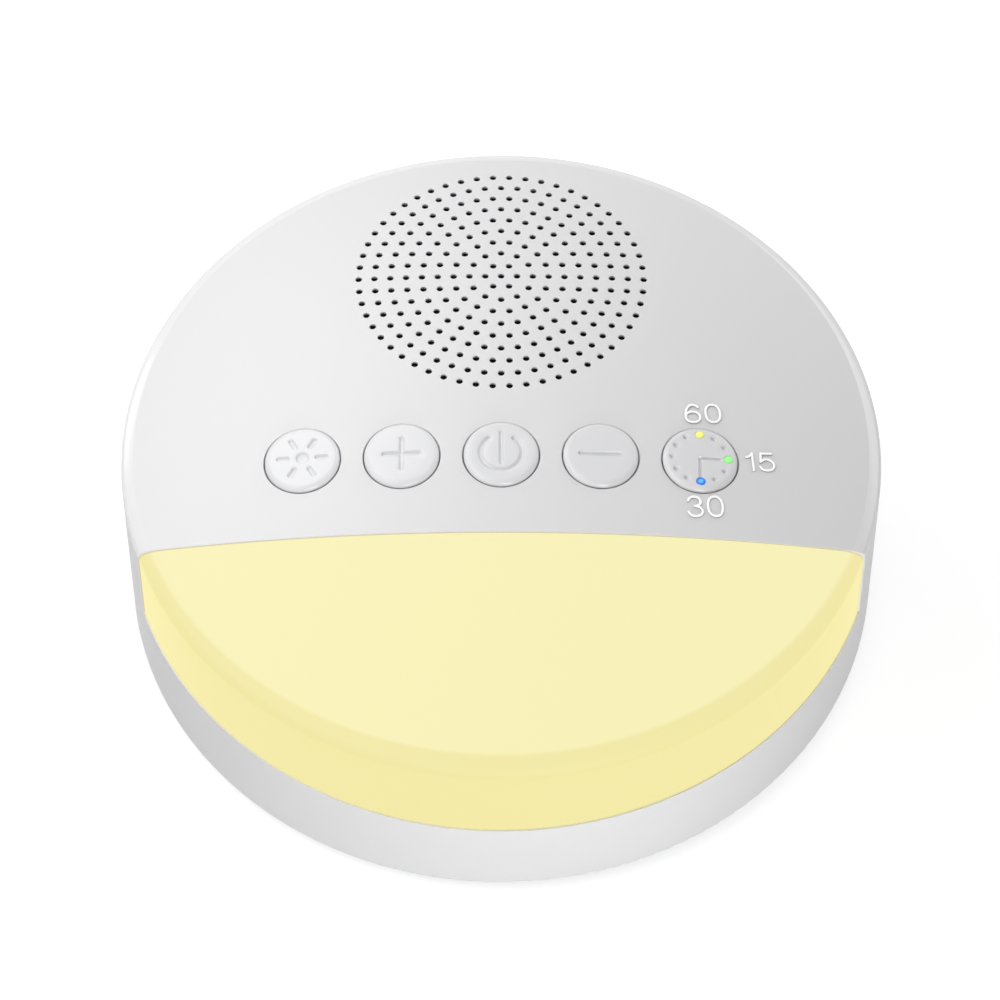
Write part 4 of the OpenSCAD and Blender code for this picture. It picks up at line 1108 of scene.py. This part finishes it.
# strokes of each figure in a box from -1 to 1; a pair is (path, closed)
strokes = {
    "0": [(oval(0, 0, 1, 1), True)],
    "1": [(smooth([(-0.66, 0.58), (-0.25, 0.65), (0.2, 1.0)]), False),
          ([(0.2, 1.0), (0.2, -1.0)], False)],
    "3": [(smooth([(-0.86, 0.6), (-0.5, 0.93), (0.05, 1.0), (0.62, 0.86), (0.84, 0.5),
                   (0.6, 0.15), (-0.02, 0.04)]), False),
          (smooth([(-0.02, 0.04), (0.7, -0.1), (0.99, -0.5), (0.72, -0.87), (0.02, -1.0),
                   (-0.6, -0.88), (-0.95, -0.52)]), False)],
    "5": [([(0.8, 1.0), (-0.7, 1.0), (-0.82, 0.02)], False),
          (smooth([(-0.82, 0.02), (-0.25, 0.3), (0.42, 0.24), (0.92, -0.12), (0.96, -0.55),
                   (0.55, -0.92), (-0.1, -1.0), (-0.65, -0.88), (-0.95, -0.58)]), False)],
    "6": [(smooth([(0.82, 0.72), (0.4, 0.95), (-0.1, 0.97), (-0.62, 0.68), (-0.93, 0.15),
                   (-1.0, -0.36)]), False),
          (oval(0, -0.4, 1, 0.6, 2.1), True)],
}


def makeFigure(text):
    def raised(way, share, rise):
        # a closed stroke's edge on one side, at one point of its section
        reach = half * share * way
        loop = [(p[0] + s.x * reach, p[1] + s.y * reach)
                for p, s in zip(spots, along(spots, True))]
        return lifted(loop, lowered(crownZ, -rise * figures["proud"]))

    faces = []
    layout = figures["texts"][text]
    half = figures["stroke"] / 2
    halfW = (figures["width"] - figures["stroke"]) / 2
    halfH = (layout["height"] - figures["stroke"]) / 2
    x0, y0 = layout["at"]
    turn = math.radians(figures["turn"])
    section = figures["section"]
    for i, digit in enumerate(text):
        shift = (i - (len(text) - 1) / 2) * layout["pitch"]
        for path, closed in strokes[digit]:
            level = [(shift + px * halfW, py * halfH) for px, py in path]
            spots = [(x0 + px, y0 + py) for px, py in turned(level, turn)]
            if closed:
                rows = [raised(1, *point) for point in section]
                rows += [raised(-1, *point) for point in reversed(section[:-1])]
            else:
                rows = [lifted(strokeLoop(spots, half * share),
                               lowered(crownZ, -rise * figures["proud"]))
                        for share, rise in section]
            loft(faces, rows)
    makePiece("figure" + text, faces, "case_white", "case", sharp=60, finishName="ink")


for figureText in figures["texts"]:
    makeFigure(figureText)
print("figures are built")


feet = {
    "radius": 5.0,
    "edge": (0.4, 5),
    "ringAt": 0.55,          # share of the radius
    "ringWidth": 0.4,        # on each side of the ring's middle
    "ringDepth": 0.2,
    "steps": 48,
}


def makeFeet():
    faces = []
    low, high = nodeBox("rubber_feet")
    radius = feet["radius"]
    at = high.x - radius
    ring = radius * feet["ringAt"]
    profile = [(0.0, low.z), (ring - feet["ringWidth"], low.z), (ring, low.z + feet["ringDepth"]),
               (ring + feet["ringWidth"], low.z)]
    profile += [(radius - drop, low.z + away)
                for away, drop in reversed(roundSteps(*feet["edge"]))]
    profile += [(radius, high.z), (0.0, high.z)]
    for sx in (-1, 1):
        for sy in (-1, 1):
            rows = [lifted(circle(sx * at, sy * at, r, feet["steps"]), flat(z))
                    for r, z in profile]
            loft(faces, rows)
    makePiece("feet", faces, "rubber_grey", "case", ["rubber_feet"])


makeFeet()
print("feet are built")


# the jack's mouth: a plated ring in a black collar that closes the gap to the wall

jackMouth = {
    "rings": {
        "jackRing": {"slot": "plated_shell", "inner": 1.8, "outer": 2.5, "depth": 0.45},
        "jackCollar": {"slot": "black_plastic", "inner": 2.52, "outer": 3.64, "depth": 0.3},
    },
    "gap": 0.02,             # to the jack's own face
    "round": (0.12, 4),
    "steps": 64,
}


def makeJackMouth():
    x, _, z = middleOf("headphone_jack")
    front = nodeBox("headphone_jack")[1].y
    back = front + jackMouth["gap"]
    edge = roundSteps(*jackMouth["round"])
    for name, ring in jackMouth["rings"].items():
        face = front + ring["depth"]
        profile = [(ring["inner"], back)]
        profile += [(ring["inner"] + away, face - drop) for away, drop in reversed(edge)]
        profile += [(ring["outer"] - away, face - drop) for away, drop in edge]
        profile += [(ring["outer"], back), profile[0]]
        rows = [[(px, y, pz) for px, pz in circle(x, z, r, jackMouth["steps"])] for r, y in profile]
        faces = []
        loft(faces, rows)
        makePiece(name, faces, ring["slot"], "case")


makeJackMouth()
print("the jack's mouth is built")
